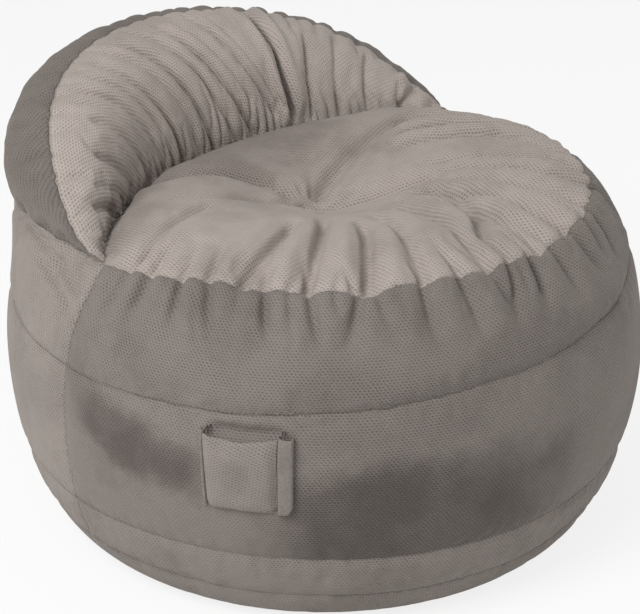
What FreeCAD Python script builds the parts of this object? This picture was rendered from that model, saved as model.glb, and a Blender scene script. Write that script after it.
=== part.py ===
"""Bean bag chair: a round seat drum with a crescent backrest bolster, in a sewn plush cover.

Frame: millimetres, +Z up, origin on the floor under the drum's middle. The chair faces -Y, so the
backrest is at +Y. Angles round the drum are in degrees from +X, and the back is at 90.

The cover is cut from flat panels: a base, a lower band, a side wall, an upper band and a seat panel
for the drum, and an outer and a face panel for the bolster. A long zip in the back lets the filling
out. Two sewn bags hold the filling, one in the drum and one in the bolster, with a divider between.
"""
import FreeCAD, Part
import math
import os

Vector = FreeCAD.Vector

# ---- drum: its outer profile is an ellipse below the belly and another above it
DRUM_RADIUS = 456.0
BELLY_HEIGHT = 260.0
BASE_TUCK = 106.0             # how far the flat of the base lies inside the belly
SHOULDER_REACH = 228.0        # horizontal half-axis of the shoulder's ellipse
SHOULDER_RISE = 300.0         # its vertical half-axis
SEAT_CROWN_RADIUS = 3600.0    # the seat's slight dome, before it is dished
DISH_DEPTH = 32.0
DISH_RADIUS = 205.0           # plan radius of the hollow that a sitter leaves
DISH_FORWARD = 55.0           # how far the hollow's middle lies in front of the drum's axis

# ---- seams of the cover
SEAT_SEAM_INSET = 80.0        # how far the seat's seam lies inside the belly
UPPER_SEAM_HEIGHT = 380.0
ZIP_SEAM_HEIGHT = 130.0
BASE_SEAM_HEIGHT = 60.0
SIDE_SEAM_ANGLE = 84.0        # each side seam, measured round from the back

# ---- bolster: an oval section swept round the back. Each station is its angle from the back, its
# thickness, how far its outer side lies inside the belly, its crest above the seat's seam, and its
# bottom below that seam
BOLSTER_STATIONS = (
    (0.0, 222.0, 8.0, 147.0, 86.0),
    (22.0, 218.0, 8.0, 140.0, 84.0),
    (45.0, 188.0, 10.0, 106.0, 76.0),
    (66.0, 130.0, 18.0, 48.0, 66.0),
    (83.0, 66.0, 36.0, 8.0, 56.0),
)

# ---- cloth and clearances
COVER_CLOTH = 3.0
BAG_CLOTH = 1.5
REST_GAP = 0.3                # between soft pieces that lie against each other
BAG_SIDE_SLACK = 6.0          # the inner bag is this much smaller than the cover at the sides

# ---- pocket, on the wall's front, towards -X
POCKET_ANGLE = 58.5           # round from the front
POCKET_WIDTH = 118.0
POCKET_BOTTOM = 214.0
POCKET_TOP = 320.0
POCKET_DEPTH_TOP = 24.0
POCKET_DEPTH_BOTTOM = 8.0
POCKET_CLOTH = 2.5
BAR_TACK = (2.0, 9.0, 2.4)    # along the wall, up and out

# ---- zips
COVER_ZIP_ARC = 84.0
BAG_ZIP_ARC = 76.0
BAG_ZIP_HEIGHT = 230.0
ZIP_SLOT = 14.0               # width of the gap between the cloth edges
ZIP_TAPE_WIDTH = 13.0         # each tape, from the coil outwards
ZIP_TAPE = 1.0
COIL_WIDTH = 2.8
COIL_THICKNESS = 2.2
COIL_HALF_GAP = 0.5           # from the middle of the chain to each coil
TAPE_SET_BACK = 0.4           # the tape lies this far behind the cloth, which curves away from it
SLIDER_WIDTH = 11.0
SLIDER_LENGTH = 17.0
SLIDER_PLATE = 1.5
SLIDER_CLEARANCE = 0.2
SLIDER_NOSE = 3.0             # length of the post that parts the coils
SLIDER_POST = 0.6
BAIL_HEIGHT = 4.8
BAIL_LENGTH = 9.0
BAIL_WIDTH = 2.4
BAIL_BAR = 1.3
PIN_RADIUS = 0.75
PIN_CLEARANCE = 0.2
PULL_LENGTH = 30.0
PULL_WIDTH = 8.0
PULL_THICKNESS = 1.3
PULL_ARM = 1.6                # width of each arm that holds the pull's pin
PULL_GAP = 1.0                # from the bail to the tab
PULL_CORNER_FLAT = 0.6        # what the tab's rounding leaves at the middle of its end
PULL_EYE_RADIUS = 1.6
PULL_EYE_INSET = 5.0
STOP_LENGTH = 4.0
STOP_GAP = 1.0                # from a stop to the slider at each end of its travel

BIG = 900.0                   # half-size of the cutters
CUT_DEPTH = 30.0              # how far a cutter runs past the surface that it cuts
OVAL_POINTS = 12              # that the bolster's oval section passes through
PARTS = "parts"

# ---- worked out from the sizes above
BASE_FLAT_RADIUS = DRUM_RADIUS - BASE_TUCK
SEAT_SEAM_RADIUS = DRUM_RADIUS - SEAT_SEAM_INSET
SEAT_SEAM_HEIGHT = BELLY_HEIGHT + SHOULDER_RISE * math.sqrt(1 - (1 - SEAT_SEAM_INSET / SHOULDER_REACH) ** 2)
SEAT_CROWN_RISE = SEAT_CROWN_RADIUS - math.sqrt(SEAT_CROWN_RADIUS ** 2 - SEAT_SEAM_RADIUS ** 2)
SEAT_CROWN_HEIGHT = SEAT_SEAM_HEIGHT + SEAT_CROWN_RISE


def export(shape, node):
    """Writes a node's solids, after a check that they are sound."""
    solids = shape.Solids
    if not solids or not all(s.isValid() for s in solids):
        raise ValueError("no sound solid in " + node)
    out = solids[0] if len(solids) == 1 else Part.makeCompound(solids)
    out.exportStep(os.path.join(PARTS, node + ".step"))
    print("%-24s %2d solid(s) %10.1f cm3" % (node, len(solids), sum(s.Volume for s in solids) / 1000))


def turned(shape, degrees):
    out = shape.copy()
    out.rotate(Vector(0, 0, 0), Vector(0, 0, 1), degrees)
    return out


def slab(low, high):
    """Everything between two heights."""
    return Part.makeCylinder(BIG, high - low, Vector(0, 0, low))


def sector(first, last, low=-BIG, high=BIG):
    """A pie slice about +Z, between two angles."""
    pie = Part.makeCylinder(BIG, high - low, Vector(0, 0, low), Vector(0, 0, 1), last - first)
    return turned(pie, first)


def swept(points, first, last):
    """A closed outline in the radius and height plane, turned about +Z between two angles."""
    outline = Part.makePolygon([Vector(r, 0, z) for r, z in points + points[:1]])
    return turned(Part.Face(outline).revolve(Vector(0, 0, 0), Vector(0, 0, 1), last - first), first)


# ======================================================================= soft bodies
def ellipse_arc(centre_radius, reach, rise, first, last):
    """Part of an upright ellipse round (centre_radius, BELLY_HEIGHT), by its own angle in radians."""
    def at(angle):
        return Vector(centre_radius + reach * math.cos(angle), 0, BELLY_HEIGHT + rise * math.sin(angle))

    middle = Vector(centre_radius, 0, BELLY_HEIGHT)
    curve = Part.Ellipse(middle + Vector(0, 0, rise), middle + Vector(reach, 0, 0), middle)
    start, end = sorted((curve.parameter(at(first)), curve.parameter(at(last))))
    return Part.Arc(curve, start, end).toShape()


def drum(side, base=None, top=None):
    """The drum's solid, set in by side at its wall, base at its floor and top at its seat."""
    base = side if base is None else base
    top = side if top is None else top
    shoulder_centre = DRUM_RADIUS - SHOULDER_REACH
    wall = [
        ellipse_arc(BASE_FLAT_RADIUS, BASE_TUCK - side, BELLY_HEIGHT - base, -math.pi / 2, 0),
        ellipse_arc(shoulder_centre, SHOULDER_REACH - side, SHOULDER_RISE - side, 0, math.pi / 2),
    ]
    apex = BELLY_HEIGHT + SHOULDER_RISE - side
    lines = [
        Part.makeLine(Vector(0, 0, base), Vector(BASE_FLAT_RADIUS, 0, base)),
        Part.makeLine(Vector(shoulder_centre, 0, apex), Vector(0, 0, apex)),
        Part.makeLine(Vector(0, 0, apex), Vector(0, 0, base)),
    ]
    outline = Part.Wire(Part.__sortEdges__([lines[0]] + wall + lines[1:]))
    body = Part.Face(outline).revolve(Vector(0, 0, 0), Vector(0, 0, 1), 360)
    dome = Part.makeSphere(SEAT_CROWN_RADIUS - top, Vector(0, 0, SEAT_CROWN_HEIGHT - SEAT_CROWN_RADIUS))
    rim_height = SEAT_CROWN_HEIGHT - DISH_RADIUS ** 2 / (2 * SEAT_CROWN_RADIUS)
    dish_radius = (DISH_RADIUS ** 2 + DISH_DEPTH ** 2) / (2 * DISH_DEPTH)
    dish_middle = Vector(0, -DISH_FORWARD, rim_height - DISH_DEPTH + dish_radius)
    return body.common(dome).cut(Part.makeSphere(dish_radius + top, dish_middle))


def oval_curve(middle, half_width, half_height):
    """An upright oval as a closed spline that starts at its outer side, whichever way it is longer."""
    points = []
    for step in range(OVAL_POINTS):
        angle = 2 * math.pi * step / OVAL_POINTS
        points.append(middle + Vector(half_width * math.cos(angle), 0, half_height * math.sin(angle)))
    curve = Part.BSplineCurve()
    curve.interpolate(Points=points, PeriodicFlag=True)
    return curve


def bolster(inset):
    """The crescent bolster's solid, set in all round and at its ends."""
    sections = []
    end_angle, *end_section = BOLSTER_STATIONS[-1]
    half = list(BOLSTER_STATIONS[:-1]) + [(end_angle - math.degrees(inset / DRUM_RADIUS), *end_section)]
    mirrored = [(-angle, *rest) for angle, *rest in reversed(half[1:])]
    for angle, thickness, outer_inset, crest, bottom in mirrored + half:
        middle_radius = DRUM_RADIUS - outer_inset - thickness / 2
        middle = Vector(middle_radius, 0, SEAT_SEAM_HEIGHT + (crest - bottom) / 2)
        half_width = thickness / 2 - inset
        half_height = (crest + bottom) / 2 - inset
        oval = Part.Wire([oval_curve(middle, half_width, half_height).toShape()])
        sections.append(turned(oval, 90.0 + angle))
    return Part.makeLoft(sections, True, False)


def wall_radius(height):
    """The drum's outer radius at a height below the seat's seam."""
    share = (height - BELLY_HEIGHT) / (SHOULDER_RISE if height > BELLY_HEIGHT else BELLY_HEIGHT)
    reach = SHOULDER_REACH if height > BELLY_HEIGHT else BASE_TUCK
    return DRUM_RADIUS - reach * (1 - math.sqrt(1 - share ** 2))


def wall_lean(height):
    """How far the wall leans outwards as it rises, in radians."""
    step = 0.5
    return math.atan2(wall_radius(height + step) - wall_radius(height - step), 2 * step)


# ======================================================================= zips
class Zip:
    """A zip that runs round the drum at one height. Its outlines are drawn flat, in along (up the
    cloth) and out (away from the drum) from the middle of the chain, and then turned about +Z."""

    def __init__(self, height, cloth_inset, arc, cloth):
        """cloth_inset is how far the outside of this zip's cloth lies inside the drum's own."""
        depth = cloth + TAPE_SET_BACK + ZIP_TAPE / 2
        self.lean = wall_lean(height)
        self.height = height + depth * math.sin(self.lean)
        self.radius = wall_radius(height) - cloth_inset - depth * math.cos(self.lean)
        self.first, self.last = 90.0 - arc / 2, 90.0 + arc / 2

    def section(self, along, out):
        return (self.radius + out * math.cos(self.lean) + along * math.sin(self.lean),
                self.height - out * math.sin(self.lean) + along * math.cos(self.lean))

    def strip(self, low, high, inner, outer, first, last):
        corners = ((low, inner), (high, inner), (high, outer), (low, outer))
        return swept([self.section(*c) for c in corners], first, last)

    def slot(self):
        """Cuts the gap between the two edges of cloth."""
        return self.strip(-ZIP_SLOT / 2, ZIP_SLOT / 2, -CUT_DEPTH / 2, CUT_DEPTH, self.first, self.last)

    def grooves(self):
        """Cuts room for the tapes and the slider in what lies behind the cloth."""
        tape_reach = COIL_HALF_GAP + COIL_WIDTH + ZIP_TAPE_WIDTH + REST_GAP
        slider_reach = SLIDER_WIDTH / 2 + REST_GAP
        slider_depth = COIL_THICKNESS / 2 + SLIDER_CLEARANCE + SLIDER_PLATE + REST_GAP
        cuts = ((tape_reach, ZIP_TAPE / 2 + REST_GAP), (slider_reach, slider_depth))
        return [self.strip(-reach, reach, -depth, CUT_DEPTH, self.first, self.last) for reach, depth in cuts]

    def degrees(self, length):
        return math.degrees(length / self.radius)

    def tape(self, side):
        inner = COIL_HALF_GAP + COIL_WIDTH
        near, far = sorted((side * inner, side * (inner + ZIP_TAPE_WIDTH)))
        return self.strip(near, far, -ZIP_TAPE / 2, ZIP_TAPE / 2, self.first, self.last)

    def coil(self, side):
        near, far = sorted((side * COIL_HALF_GAP, side * (COIL_HALF_GAP + COIL_WIDTH)))
        end = self.degrees(2 * STOP_LENGTH)
        half = COIL_THICKNESS / 2
        return self.strip(near, far, -half, half, self.first + end, self.last - end)

    def stops(self):
        """A crimped stop at each end of the chain, across both tapes' inner edges."""
        reach = COIL_HALF_GAP + COIL_WIDTH
        half = COIL_THICKNESS / 2
        size = self.degrees(STOP_LENGTH)
        ends = (self.first + size, self.last - 2 * size)
        return Part.makeCompound([self.strip(-reach, reach, -half, half, at, at + size) for at in ends])

    def slider_inset(self):
        """From either end of the zip to the slider's middle when it is against that end's stop."""
        return self.degrees(2 * STOP_LENGTH + STOP_GAP + SLIDER_LENGTH / 2)

    def slider_middle(self):
        return self.first + self.slider_inset()

    def slider_travel(self):
        return self.last - self.first - 2 * self.slider_inset()

    def slider(self, with_bail):
        """Two plates with rolled edges, joined by a thin post at the nose, and a bail for the pull.
        The nose faces the stop, so the chain behind the slider is closed."""
        half = SLIDER_WIDTH / 2
        inside = COIL_THICKNESS / 2 + SLIDER_CLEARANCE
        lip = ZIP_TAPE / 2 + SLIDER_CLEARANCE
        edge = half - SLIDER_PLATE
        first = self.slider_middle() - self.degrees(SLIDER_LENGTH / 2)
        last = self.slider_middle() + self.degrees(SLIDER_LENGTH / 2)
        outer = inside + SLIDER_PLATE
        pieces = []
        for face in (1, -1):
            channel = ((-half, outer), (-half, lip), (-edge, lip), (-edge, inside),
                       (edge, inside), (edge, lip), (half, lip), (half, outer))
            pieces.append(swept([self.section(along, face * out) for along, out in channel], first, last))
        nose = self.degrees(SLIDER_NOSE)
        post = SLIDER_POST / 2
        root = inside + SLIDER_PLATE / 2
        pieces.append(self.strip(-post, post, -root, root, first, first + nose))
        if with_bail:
            foot = outer - SLIDER_PLATE / 2
            crown = outer + BAIL_HEIGHT
            span = self.degrees(BAIL_LENGTH / 2)
            leg = self.degrees(BAIL_BAR)
            middle = self.slider_middle()
            wide = BAIL_WIDTH / 2
            pieces.append(self.strip(-wide, wide, crown - BAIL_BAR, crown, middle - span, middle + span))
            pieces.append(self.strip(-wide, wide, foot, crown, middle - span, middle - span + leg))
            pieces.append(self.strip(-wide, wide, foot, crown, middle + span - leg, middle + span))
        return pieces[0].fuse(pieces[1:]).removeSplitter()

    def placed(self, shape):
        """Puts a shape drawn with +X along the zip, +Y up the cloth and +Z out on the closed slider."""
        angle = math.radians(self.slider_middle())
        radial = Vector(math.cos(angle), math.sin(angle), 0)
        axis = Vector(0, 0, 1)
        out = radial * math.cos(self.lean) - axis * math.sin(self.lean)
        up = radial * math.sin(self.lean) + axis * math.cos(self.lean)
        along = up.cross(out)
        origin = radial * self.radius + axis * self.height
        frame = FreeCAD.Matrix(
            along.x, up.x, out.x, origin.x,
            along.y, up.y, out.y, origin.y,
            along.z, up.z, out.z, origin.z,
            0, 0, 0, 1)
        return shape.transformed(frame), frame

    def pin_height(self):
        """The pull's pin runs in the bail, just under its bar."""
        bail_foot = COIL_THICKNESS / 2 + SLIDER_CLEARANCE + SLIDER_PLATE
        return bail_foot + BAIL_HEIGHT - BAIL_BAR - PIN_CLEARANCE - PIN_RADIUS

    def pull(self):
        """A flat tab whose cross pin runs through the bail. It lies along the zip."""
        level = self.pin_height()
        reach = BAIL_WIDTH / 2 + 2 * PIN_CLEARANCE
        outer = reach + PULL_ARM
        pin = Part.makeCylinder(PIN_RADIUS, 2 * outer, Vector(0, -outer, level), Vector(0, 1, 0))
        start = BAIL_LENGTH / 2 + PULL_GAP
        bottom = level - PULL_THICKNESS / 2
        arm_length = start + PIN_RADIUS + PULL_GAP
        arms = [Part.makeBox(arm_length, PULL_ARM, PULL_THICKNESS, Vector(-PIN_RADIUS, low, bottom))
                for low in (reach, -outer)]
        corner = Vector(start, -PULL_WIDTH / 2, bottom)
        tab = Part.makeBox(PULL_LENGTH - start, PULL_WIDTH, PULL_THICKNESS, corner)
        upright = [edge for edge in tab.Edges if abs(edge.tangentAt(edge.FirstParameter).z) > 0.9]
        far_corners = [edge for edge in upright if edge.CenterOfMass.x > start + PULL_GAP]
        tab = tab.makeFillet(PULL_WIDTH / 2 - PULL_CORNER_FLAT, far_corners)
        eye_place = Vector(PULL_LENGTH - PULL_EYE_INSET, 0, bottom - PULL_THICKNESS)
        eye = Part.makeCylinder(PULL_EYE_RADIUS, 3 * PULL_THICKNESS, eye_place)
        shape = pin.fuse(arms + [tab.cut(eye)]).removeSplitter()
        return self.placed(shape)[0]


# ======================================================================= the cover
def build_cover(outer_drum, outer_bolster, cover_zip):
    """The ten panels of the cover, and the divider that closes the drum under the bolster."""
    drum_skin = outer_drum.cut(drum(COVER_CLOTH))
    divider = drum_skin.common(outer_bolster)
    open_skin = drum_skin.cut(outer_bolster)
    seat_core = Part.makeCylinder(SEAT_SEAM_RADIUS, BIG, Vector(0, 0, BELLY_HEIGHT))
    wall_skin = open_skin.cut(seat_core)
    back = (90.0 - SIDE_SEAM_ANGLE, 90.0 + SIDE_SEAM_ANGLE)
    front = (back[1], back[0] + 360.0)
    slot = cover_zip.slot()

    export(open_skin.common(seat_core), "seat_panel")
    export(divider, "chamber_divider")
    export(open_skin.common(slab(-1.0, BASE_SEAM_HEIGHT)), "base_panel")
    bands = (
        ("lower_band", BASE_SEAM_HEIGHT, ZIP_SEAM_HEIGHT),
        ("side_wall", ZIP_SEAM_HEIGHT, UPPER_SEAM_HEIGHT),
        ("upper_band", UPPER_SEAM_HEIGHT, BIG),
    )
    for name, low, high in bands:
        ring = wall_skin.common(slab(low, high))
        for place, angles in (("front", front), ("back", back)):
            panel = ring.common(sector(*angles))
            if place == "back" and high <= UPPER_SEAM_HEIGHT:
                panel = panel.cut(slot)
            export(panel, name + "_" + place)

    bolster_skin = outer_bolster.cut(bolster(COVER_CLOTH)).cut(outer_drum)
    crest = Part.makeCylinder(SEAT_SEAM_RADIUS, BIG, Vector(0, 0, BELLY_HEIGHT))
    export(bolster_skin.cut(crest), "backrest_outer_panel")
    export(bolster_skin.common(crest), "backrest_face_panel")


# ======================================================================= the inner bags and filling
def build_bags(bag_zip):
    """The two sewn bags and what fills them."""
    side = COVER_CLOTH + BAG_SIDE_SLACK
    flat = COVER_CLOTH + REST_GAP
    bag = drum(side, flat, flat)
    skin = bag.cut(drum(side + BAG_CLOTH, flat + BAG_CLOTH, flat + BAG_CLOTH))
    top_core = Part.makeCylinder(SEAT_SEAM_RADIUS - side, BIG, Vector(0, 0, BELLY_HEIGHT))
    export(skin.common(top_core), "seat_bag_top")
    export(skin.common(slab(0.0, BASE_SEAM_HEIGHT)), "seat_bag_base")
    export(skin.cut(top_core).common(slab(BASE_SEAM_HEIGHT, BIG)).cut(bag_zip.slot()), "seat_bag_side")

    inner_flat = flat + BAG_CLOTH + REST_GAP
    filling = drum(side + BAG_CLOTH + REST_GAP, inner_flat, inner_flat)
    export(filling.cut(bag_zip.grooves()), "seat_filling")

    outer_inset = COVER_CLOTH + REST_GAP
    bolster_bag = bolster(outer_inset).cut(drum(-REST_GAP))
    bolster_inside = bolster(outer_inset + BAG_CLOTH).cut(drum(-REST_GAP - BAG_CLOTH))
    export(bolster_bag.cut(bolster_inside), "backrest_bag")
    fill_inset = outer_inset + BAG_CLOTH + REST_GAP
    export(bolster(fill_inset).cut(drum(-2 * REST_GAP - BAG_CLOTH)), "backrest_filling")


# ======================================================================= the pocket
def build_pocket(outer_drum):
    """A patch pocket with side gussets. Its front leans out, so that its mouth stands open."""
    middle = 270.0 - POCKET_ANGLE
    half = math.degrees(POCKET_WIDTH / 2 / DRUM_RADIUS)
    cloth_turn = math.degrees(POCKET_CLOTH / DRUM_RADIUS)
    low, high = POCKET_BOTTOM, POCKET_TOP
    low_out, high_out = wall_radius(low) + POCKET_DEPTH_BOTTOM, wall_radius(high) + POCKET_DEPTH_TOP
    seat = drum(-REST_GAP / 2)

    def inside(height):
        """The radius of the front's inner face at a height."""
        share = (height - low) / (high - low)
        return low_out + (high_out - low_out) * share - POCKET_CLOTH

    front = [(inside(low), low), (low_out, low), (high_out, high), (inside(high), high)]
    export(swept(front, middle - half, middle + half), "pocket_front")
    buried = DRUM_RADIUS - CUT_DEPTH
    floor_top = low + POCKET_CLOTH
    floor = [(buried, low), (inside(low), low), (inside(floor_top), floor_top), (buried, floor_top)]
    export(swept(floor, middle - half, middle + half).cut(seat), "pocket_floor")
    gusset = [(buried, floor_top), (inside(floor_top), floor_top), (inside(high), high), (buried, high)]
    export(swept(gusset, middle + half - cloth_turn, middle + half).cut(seat), "pocket_gusset_rear")
    export(swept(gusset, middle - half, middle - half + cloth_turn).cut(seat), "pocket_gusset_front")

    along, up, out = BAR_TACK
    turn = math.degrees(along / DRUM_RADIUS)
    face = wall_radius(high) + out
    tack = [(buried, high - up), (face, high - up), (face, high), (buried, high)]
    tacks = [swept(tack, at, at + turn).cut(seat) for at in (middle - half - turn, middle + half)]
    export(Part.makeCompound(tacks), "pocket_bar_tacks")


# ======================================================================= assembly
def build_zip(name, zipper, with_pull):
    export(zipper.tape(1), name + "_tape_upper")
    export(zipper.tape(-1), name + "_tape_lower")
    export(zipper.coil(1), name + "_coil_upper")
    export(zipper.coil(-1), name + "_coil_lower")
    export(zipper.stops(), name + "_stops")
    export(zipper.slider(with_pull), name + "_slider")
    if with_pull:
        export(zipper.pull(), name + "_pull")
        pivot = zipper.placed(Part.Vertex(Vector(0, 0, zipper.pin_height())))[0].Point
        frame = zipper.placed(Part.Vertex(0, 0, 0))[1]
        pin_axis = (frame.A12, frame.A22, frame.A32)
        print("pull pivot %.4f %.4f %.4f" % tuple(pivot), "axis %.5f %.5f %.5f" % pin_axis)
    print(name, "slider at %.3f deg, travel %.3f deg" % (zipper.slider_middle(), zipper.slider_travel()))


def main():
    os.makedirs(PARTS, exist_ok=True)
    outer_drum = drum(0.0)
    outer_bolster = bolster(0.0)
    cover_zip = Zip(ZIP_SEAM_HEIGHT, 0.0, COVER_ZIP_ARC, COVER_CLOTH)
    bag_zip = Zip(BAG_ZIP_HEIGHT, COVER_CLOTH + BAG_SIDE_SLACK, BAG_ZIP_ARC, BAG_CLOTH)
    build_cover(outer_drum, outer_bolster, cover_zip)
    build_bags(bag_zip)
    build_pocket(outer_drum)
    build_zip("cover_zip", cover_zip, True)
    build_zip("bag_zip", bag_zip, False)


main()
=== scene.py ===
"""Bean bag chair: a plush cover sewn from flat panels, gathered round a round seat and a bolster.

The panels are cut flat, sewn edge to edge, and blown up together by a cloth simulation. Each then
becomes a piece of its own. Metres, +Z up, and the chair faces -Y, with the backrest at +Y.
"""
import math
import random

import bmesh
import bpy
import numpy as np
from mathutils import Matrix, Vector
from mathutils.bvhtree import BVHTree
from mathutils.geometry import delaunay_2d_cdt


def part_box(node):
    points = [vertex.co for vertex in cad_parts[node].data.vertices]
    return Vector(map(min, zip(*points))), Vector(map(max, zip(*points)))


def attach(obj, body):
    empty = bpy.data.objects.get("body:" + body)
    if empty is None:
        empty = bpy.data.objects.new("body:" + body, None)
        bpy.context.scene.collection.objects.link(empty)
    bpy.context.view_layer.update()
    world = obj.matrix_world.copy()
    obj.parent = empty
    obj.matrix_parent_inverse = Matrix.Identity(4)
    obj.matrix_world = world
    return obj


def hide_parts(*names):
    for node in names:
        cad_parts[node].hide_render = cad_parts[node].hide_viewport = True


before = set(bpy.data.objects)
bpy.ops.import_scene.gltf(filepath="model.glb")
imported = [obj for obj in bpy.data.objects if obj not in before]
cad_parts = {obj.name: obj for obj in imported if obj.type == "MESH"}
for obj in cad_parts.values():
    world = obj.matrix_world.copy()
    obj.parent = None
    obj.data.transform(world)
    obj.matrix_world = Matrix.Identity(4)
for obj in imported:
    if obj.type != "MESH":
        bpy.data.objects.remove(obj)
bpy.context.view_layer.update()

# ---- the cover's filled shape ---------------------------------------------------------------
# A round drum of cloth with a crescent bolster on its back. A place on it is told by its turn from
# the back, in degrees towards -X, and its height. The two side seams are JOIN from the back.
JOIN = 84.0
DRUM_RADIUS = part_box("side_wall_front")[1].x
# the drum is widest at BELLY. From there it draws in by TUCK down to the floor, and by REACH over RISE
BELLY, TUCK, REACH, RISE = 0.26, 0.106, 0.228, 0.30
CLOSE_FROM = 0.34
BASE_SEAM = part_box("base_panel")[1].z
ZIP_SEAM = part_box("side_wall_front")[0].z
SEAT_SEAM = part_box("upper_band_front")[1].z
SEAT_RADIUS = 0.376
SEAT_SWELL, SEAT_DIP = 0.017, 0.050
CREST_RADIUS = SEAT_RADIUS + 0.004
CREST_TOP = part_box("backrest_face_panel")[1].z + 0.002
JUNCTION_HEIGHT = 0.462
CREST_TURNS = (0.0, 12.0, 20.0, 32.0, 45.0, 56.0, 66.0, 74.0, 80.0, JOIN)
CREST_DROPS = (0.0, 0.003, 0.008, 0.021, 0.045, 0.080, 0.121, 0.155, 0.172, CREST_TOP - JUNCTION_HEIGHT)
# behind, under the bolster, the wall ends in a notch, wider and a little higher than the seat's seam
NOTCH_STEP, NOTCH_RISE = 0.058, 0.012
# the crease between seat and bolster is part of a circle whose middle lies CREASE_BACK along Y
CREASE_RADIUS, CREASE_BACK = 0.474, -0.2517
ZIP_HALF_ARC, ZIP_HALF_SLOT = 42.0, 0.0068


def direction(turn):
    angle = np.radians(90.0 + turn)
    return np.cos(angle), np.sin(angle)


def placed(turn, radius, height):
    x, y = direction(turn)
    return np.stack(np.broadcast_arrays(radius * x, radius * y, height), axis=-1)


def turn_of(x, y):
    return np.degrees(np.arctan2(y, x)) - 90.0


def ease(value, low, high):
    t = np.clip((value - low) / (high - low), 0.0, 1.0)
    return t * t * (3.0 - 2.0 * t)


def hump(value, middle, width):
    return np.exp(-((value - middle) / width) ** 2)


def off(turn, other):
    """The turn between two turns, the short way."""
    return (turn - other + 180.0) % 360.0 - 180.0


def wall_radius(height):
    share = (height - BELLY) / np.where(height > BELLY, RISE, BELLY)
    reach = np.where(height > BELLY, REACH, TUCK)
    return DRUM_RADIUS - reach * (1 - np.sqrt(np.clip(1 - share ** 2, 0, 1)))


def upper_seam_height(turn):
    """The upper seam wanders: it sits lower on the -X side than on the other."""
    return 0.366 - 0.030 * np.cos(np.radians(turn - 80.0))


def zip_seam_height(turn):
    return ZIP_SEAM + 0.016 * hump(off(turn, -100.0), 0.0, 26.0)


def crest_height(turn):
    return CREST_TOP - np.interp(np.abs(turn), CREST_TURNS, CREST_DROPS)


def seam_top(turn):
    """Where the wall ends: at the seat's seam in front, and at the notch under the bolster behind."""
    away = np.abs(off(turn, 0.0))
    back = 1.0 - ease(away, 50.0, JOIN)
    front_height = SEAT_SEAM - (SEAT_SEAM - JUNCTION_HEIGHT) * np.exp(-np.maximum(away - JOIN, 0) / 14.0)
    ripple = 0.0028 * np.sin(np.radians(7 * turn + 40)) + 0.0022 * np.sin(np.radians(17 * turn))
    ripple = ripple * ease(away, JOIN, JOIN + 25.0)
    height = np.where(away > JOIN, front_height + ripple, JUNCTION_HEIGHT + NOTCH_RISE * back)
    return SEAT_RADIUS + NOTCH_STEP * back, height


def crease_radius(turn):
    c = CREASE_BACK * np.cos(np.radians(turn))
    return c + np.sqrt(np.clip(c * c - CREASE_BACK ** 2 + CREASE_RADIUS ** 2, 0, None))


def wall_point(turn, height):
    """The drum's wall, with shallow dents in front. From CLOSE_FROM up it closes in on its top seam."""
    top_radius, top = seam_top(turn)
    share = np.clip((height - CLOSE_FROM) / (top - CLOSE_FROM), 0.0, 1.0)
    radius = wall_radius(height) + (top_radius - wall_radius(top)) * share ** 2
    front = ease(np.abs(off(turn, 0.0)), 60.0, 90.0) * ease(height, 0.0, 0.08) * (1 - share)
    dents = 0.0016 * np.sin(np.radians(5 * turn + 20)) * np.sin(11 * height + 1.0)
    dents = dents + 0.0012 * np.sin(np.radians(13 * turn)) * np.sin(23 * height)
    return placed(turn, radius + dents * front, height)


def bezier(points, t):
    a, b, c, d = points
    s = 1.0 - t
    return s ** 3 * a + 3 * s * s * t * b + 3 * s * t * t * c + t ** 3 * d


def outer_point(turn, t):
    """The bolster's outer side, from the notch at 0 to the crest's seam at 1."""
    low_radius, low = seam_top(turn)
    top = crest_height(turn)
    rise = top - low
    belly = np.maximum(low_radius, CREST_RADIUS) + 0.20 * rise
    radius = bezier((low_radius, belly, belly + 0.02 * rise, CREST_RADIUS), t)
    height = bezier((low, low + 0.24 * rise, top + 0.06 * rise, top), t)
    return placed(turn, radius, height)


def face_point(turn, t):
    """The bolster's face, from the crest's seam at 0 to the crease with the seat at 1."""
    top, low_radius, low = crest_height(turn), crease_radius(turn), crease_height(turn)
    reach, rise = CREST_RADIUS - low_radius, top - low
    radius = bezier((CREST_RADIUS, CREST_RADIUS - 0.62 * reach, low_radius - 0.03 * reach, low_radius), t)
    height = bezier((top, top + 0.10 * rise, low + 0.62 * rise, low), t)
    return placed(turn, radius, height)


def crease_height(turn):
    return JUNCTION_HEIGHT - 0.004 * (1.0 - ease(np.abs(turn), 40.0, JOIN))


def seat_point(x, y):
    """The seat: a ring that swells inside its seam, dished to a pinch over the drum's axis."""
    turn = off(turn_of(x, y), 0.0)
    radius = np.hypot(x, y)
    away = np.abs(turn)
    dip = np.where(away > JOIN, seam_top(turn)[1], JUNCTION_HEIGHT) - SEAT_SEAM
    spread = np.hypot(SEAT_RADIUS - radius, 0.4 * np.radians(np.maximum(JOIN - away, 0.0)))
    seam = SEAT_SEAM + dip * np.exp(-spread / 0.05)
    rho = radius / SEAT_RADIUS
    height = seam + SEAT_SWELL * np.sin(np.pi * np.clip(rho, 0, 1) ** 2.2) - SEAT_DIP * np.exp(-(rho / 0.30) ** 2)
    gap = np.hypot(x, y - CREASE_BACK)
    by_crease = np.exp(-np.abs(CREASE_RADIUS - gap) / 0.034)
    height = height + (crease_height(turn) - height) * by_crease * ease(y, -0.16, 0.04)
    return np.stack([x, y, height], axis=-1)


# ---- the folds and gathers ------------------------------------------------------------------
# Each fold is a pinched valley with a soft ridge beside it. The cloth is cut wider than the seam
# that it is sewn to, so most folds start at a seam and die out away from it.
FOLD_SEED = 11
DEEPEST = 0.016
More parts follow.
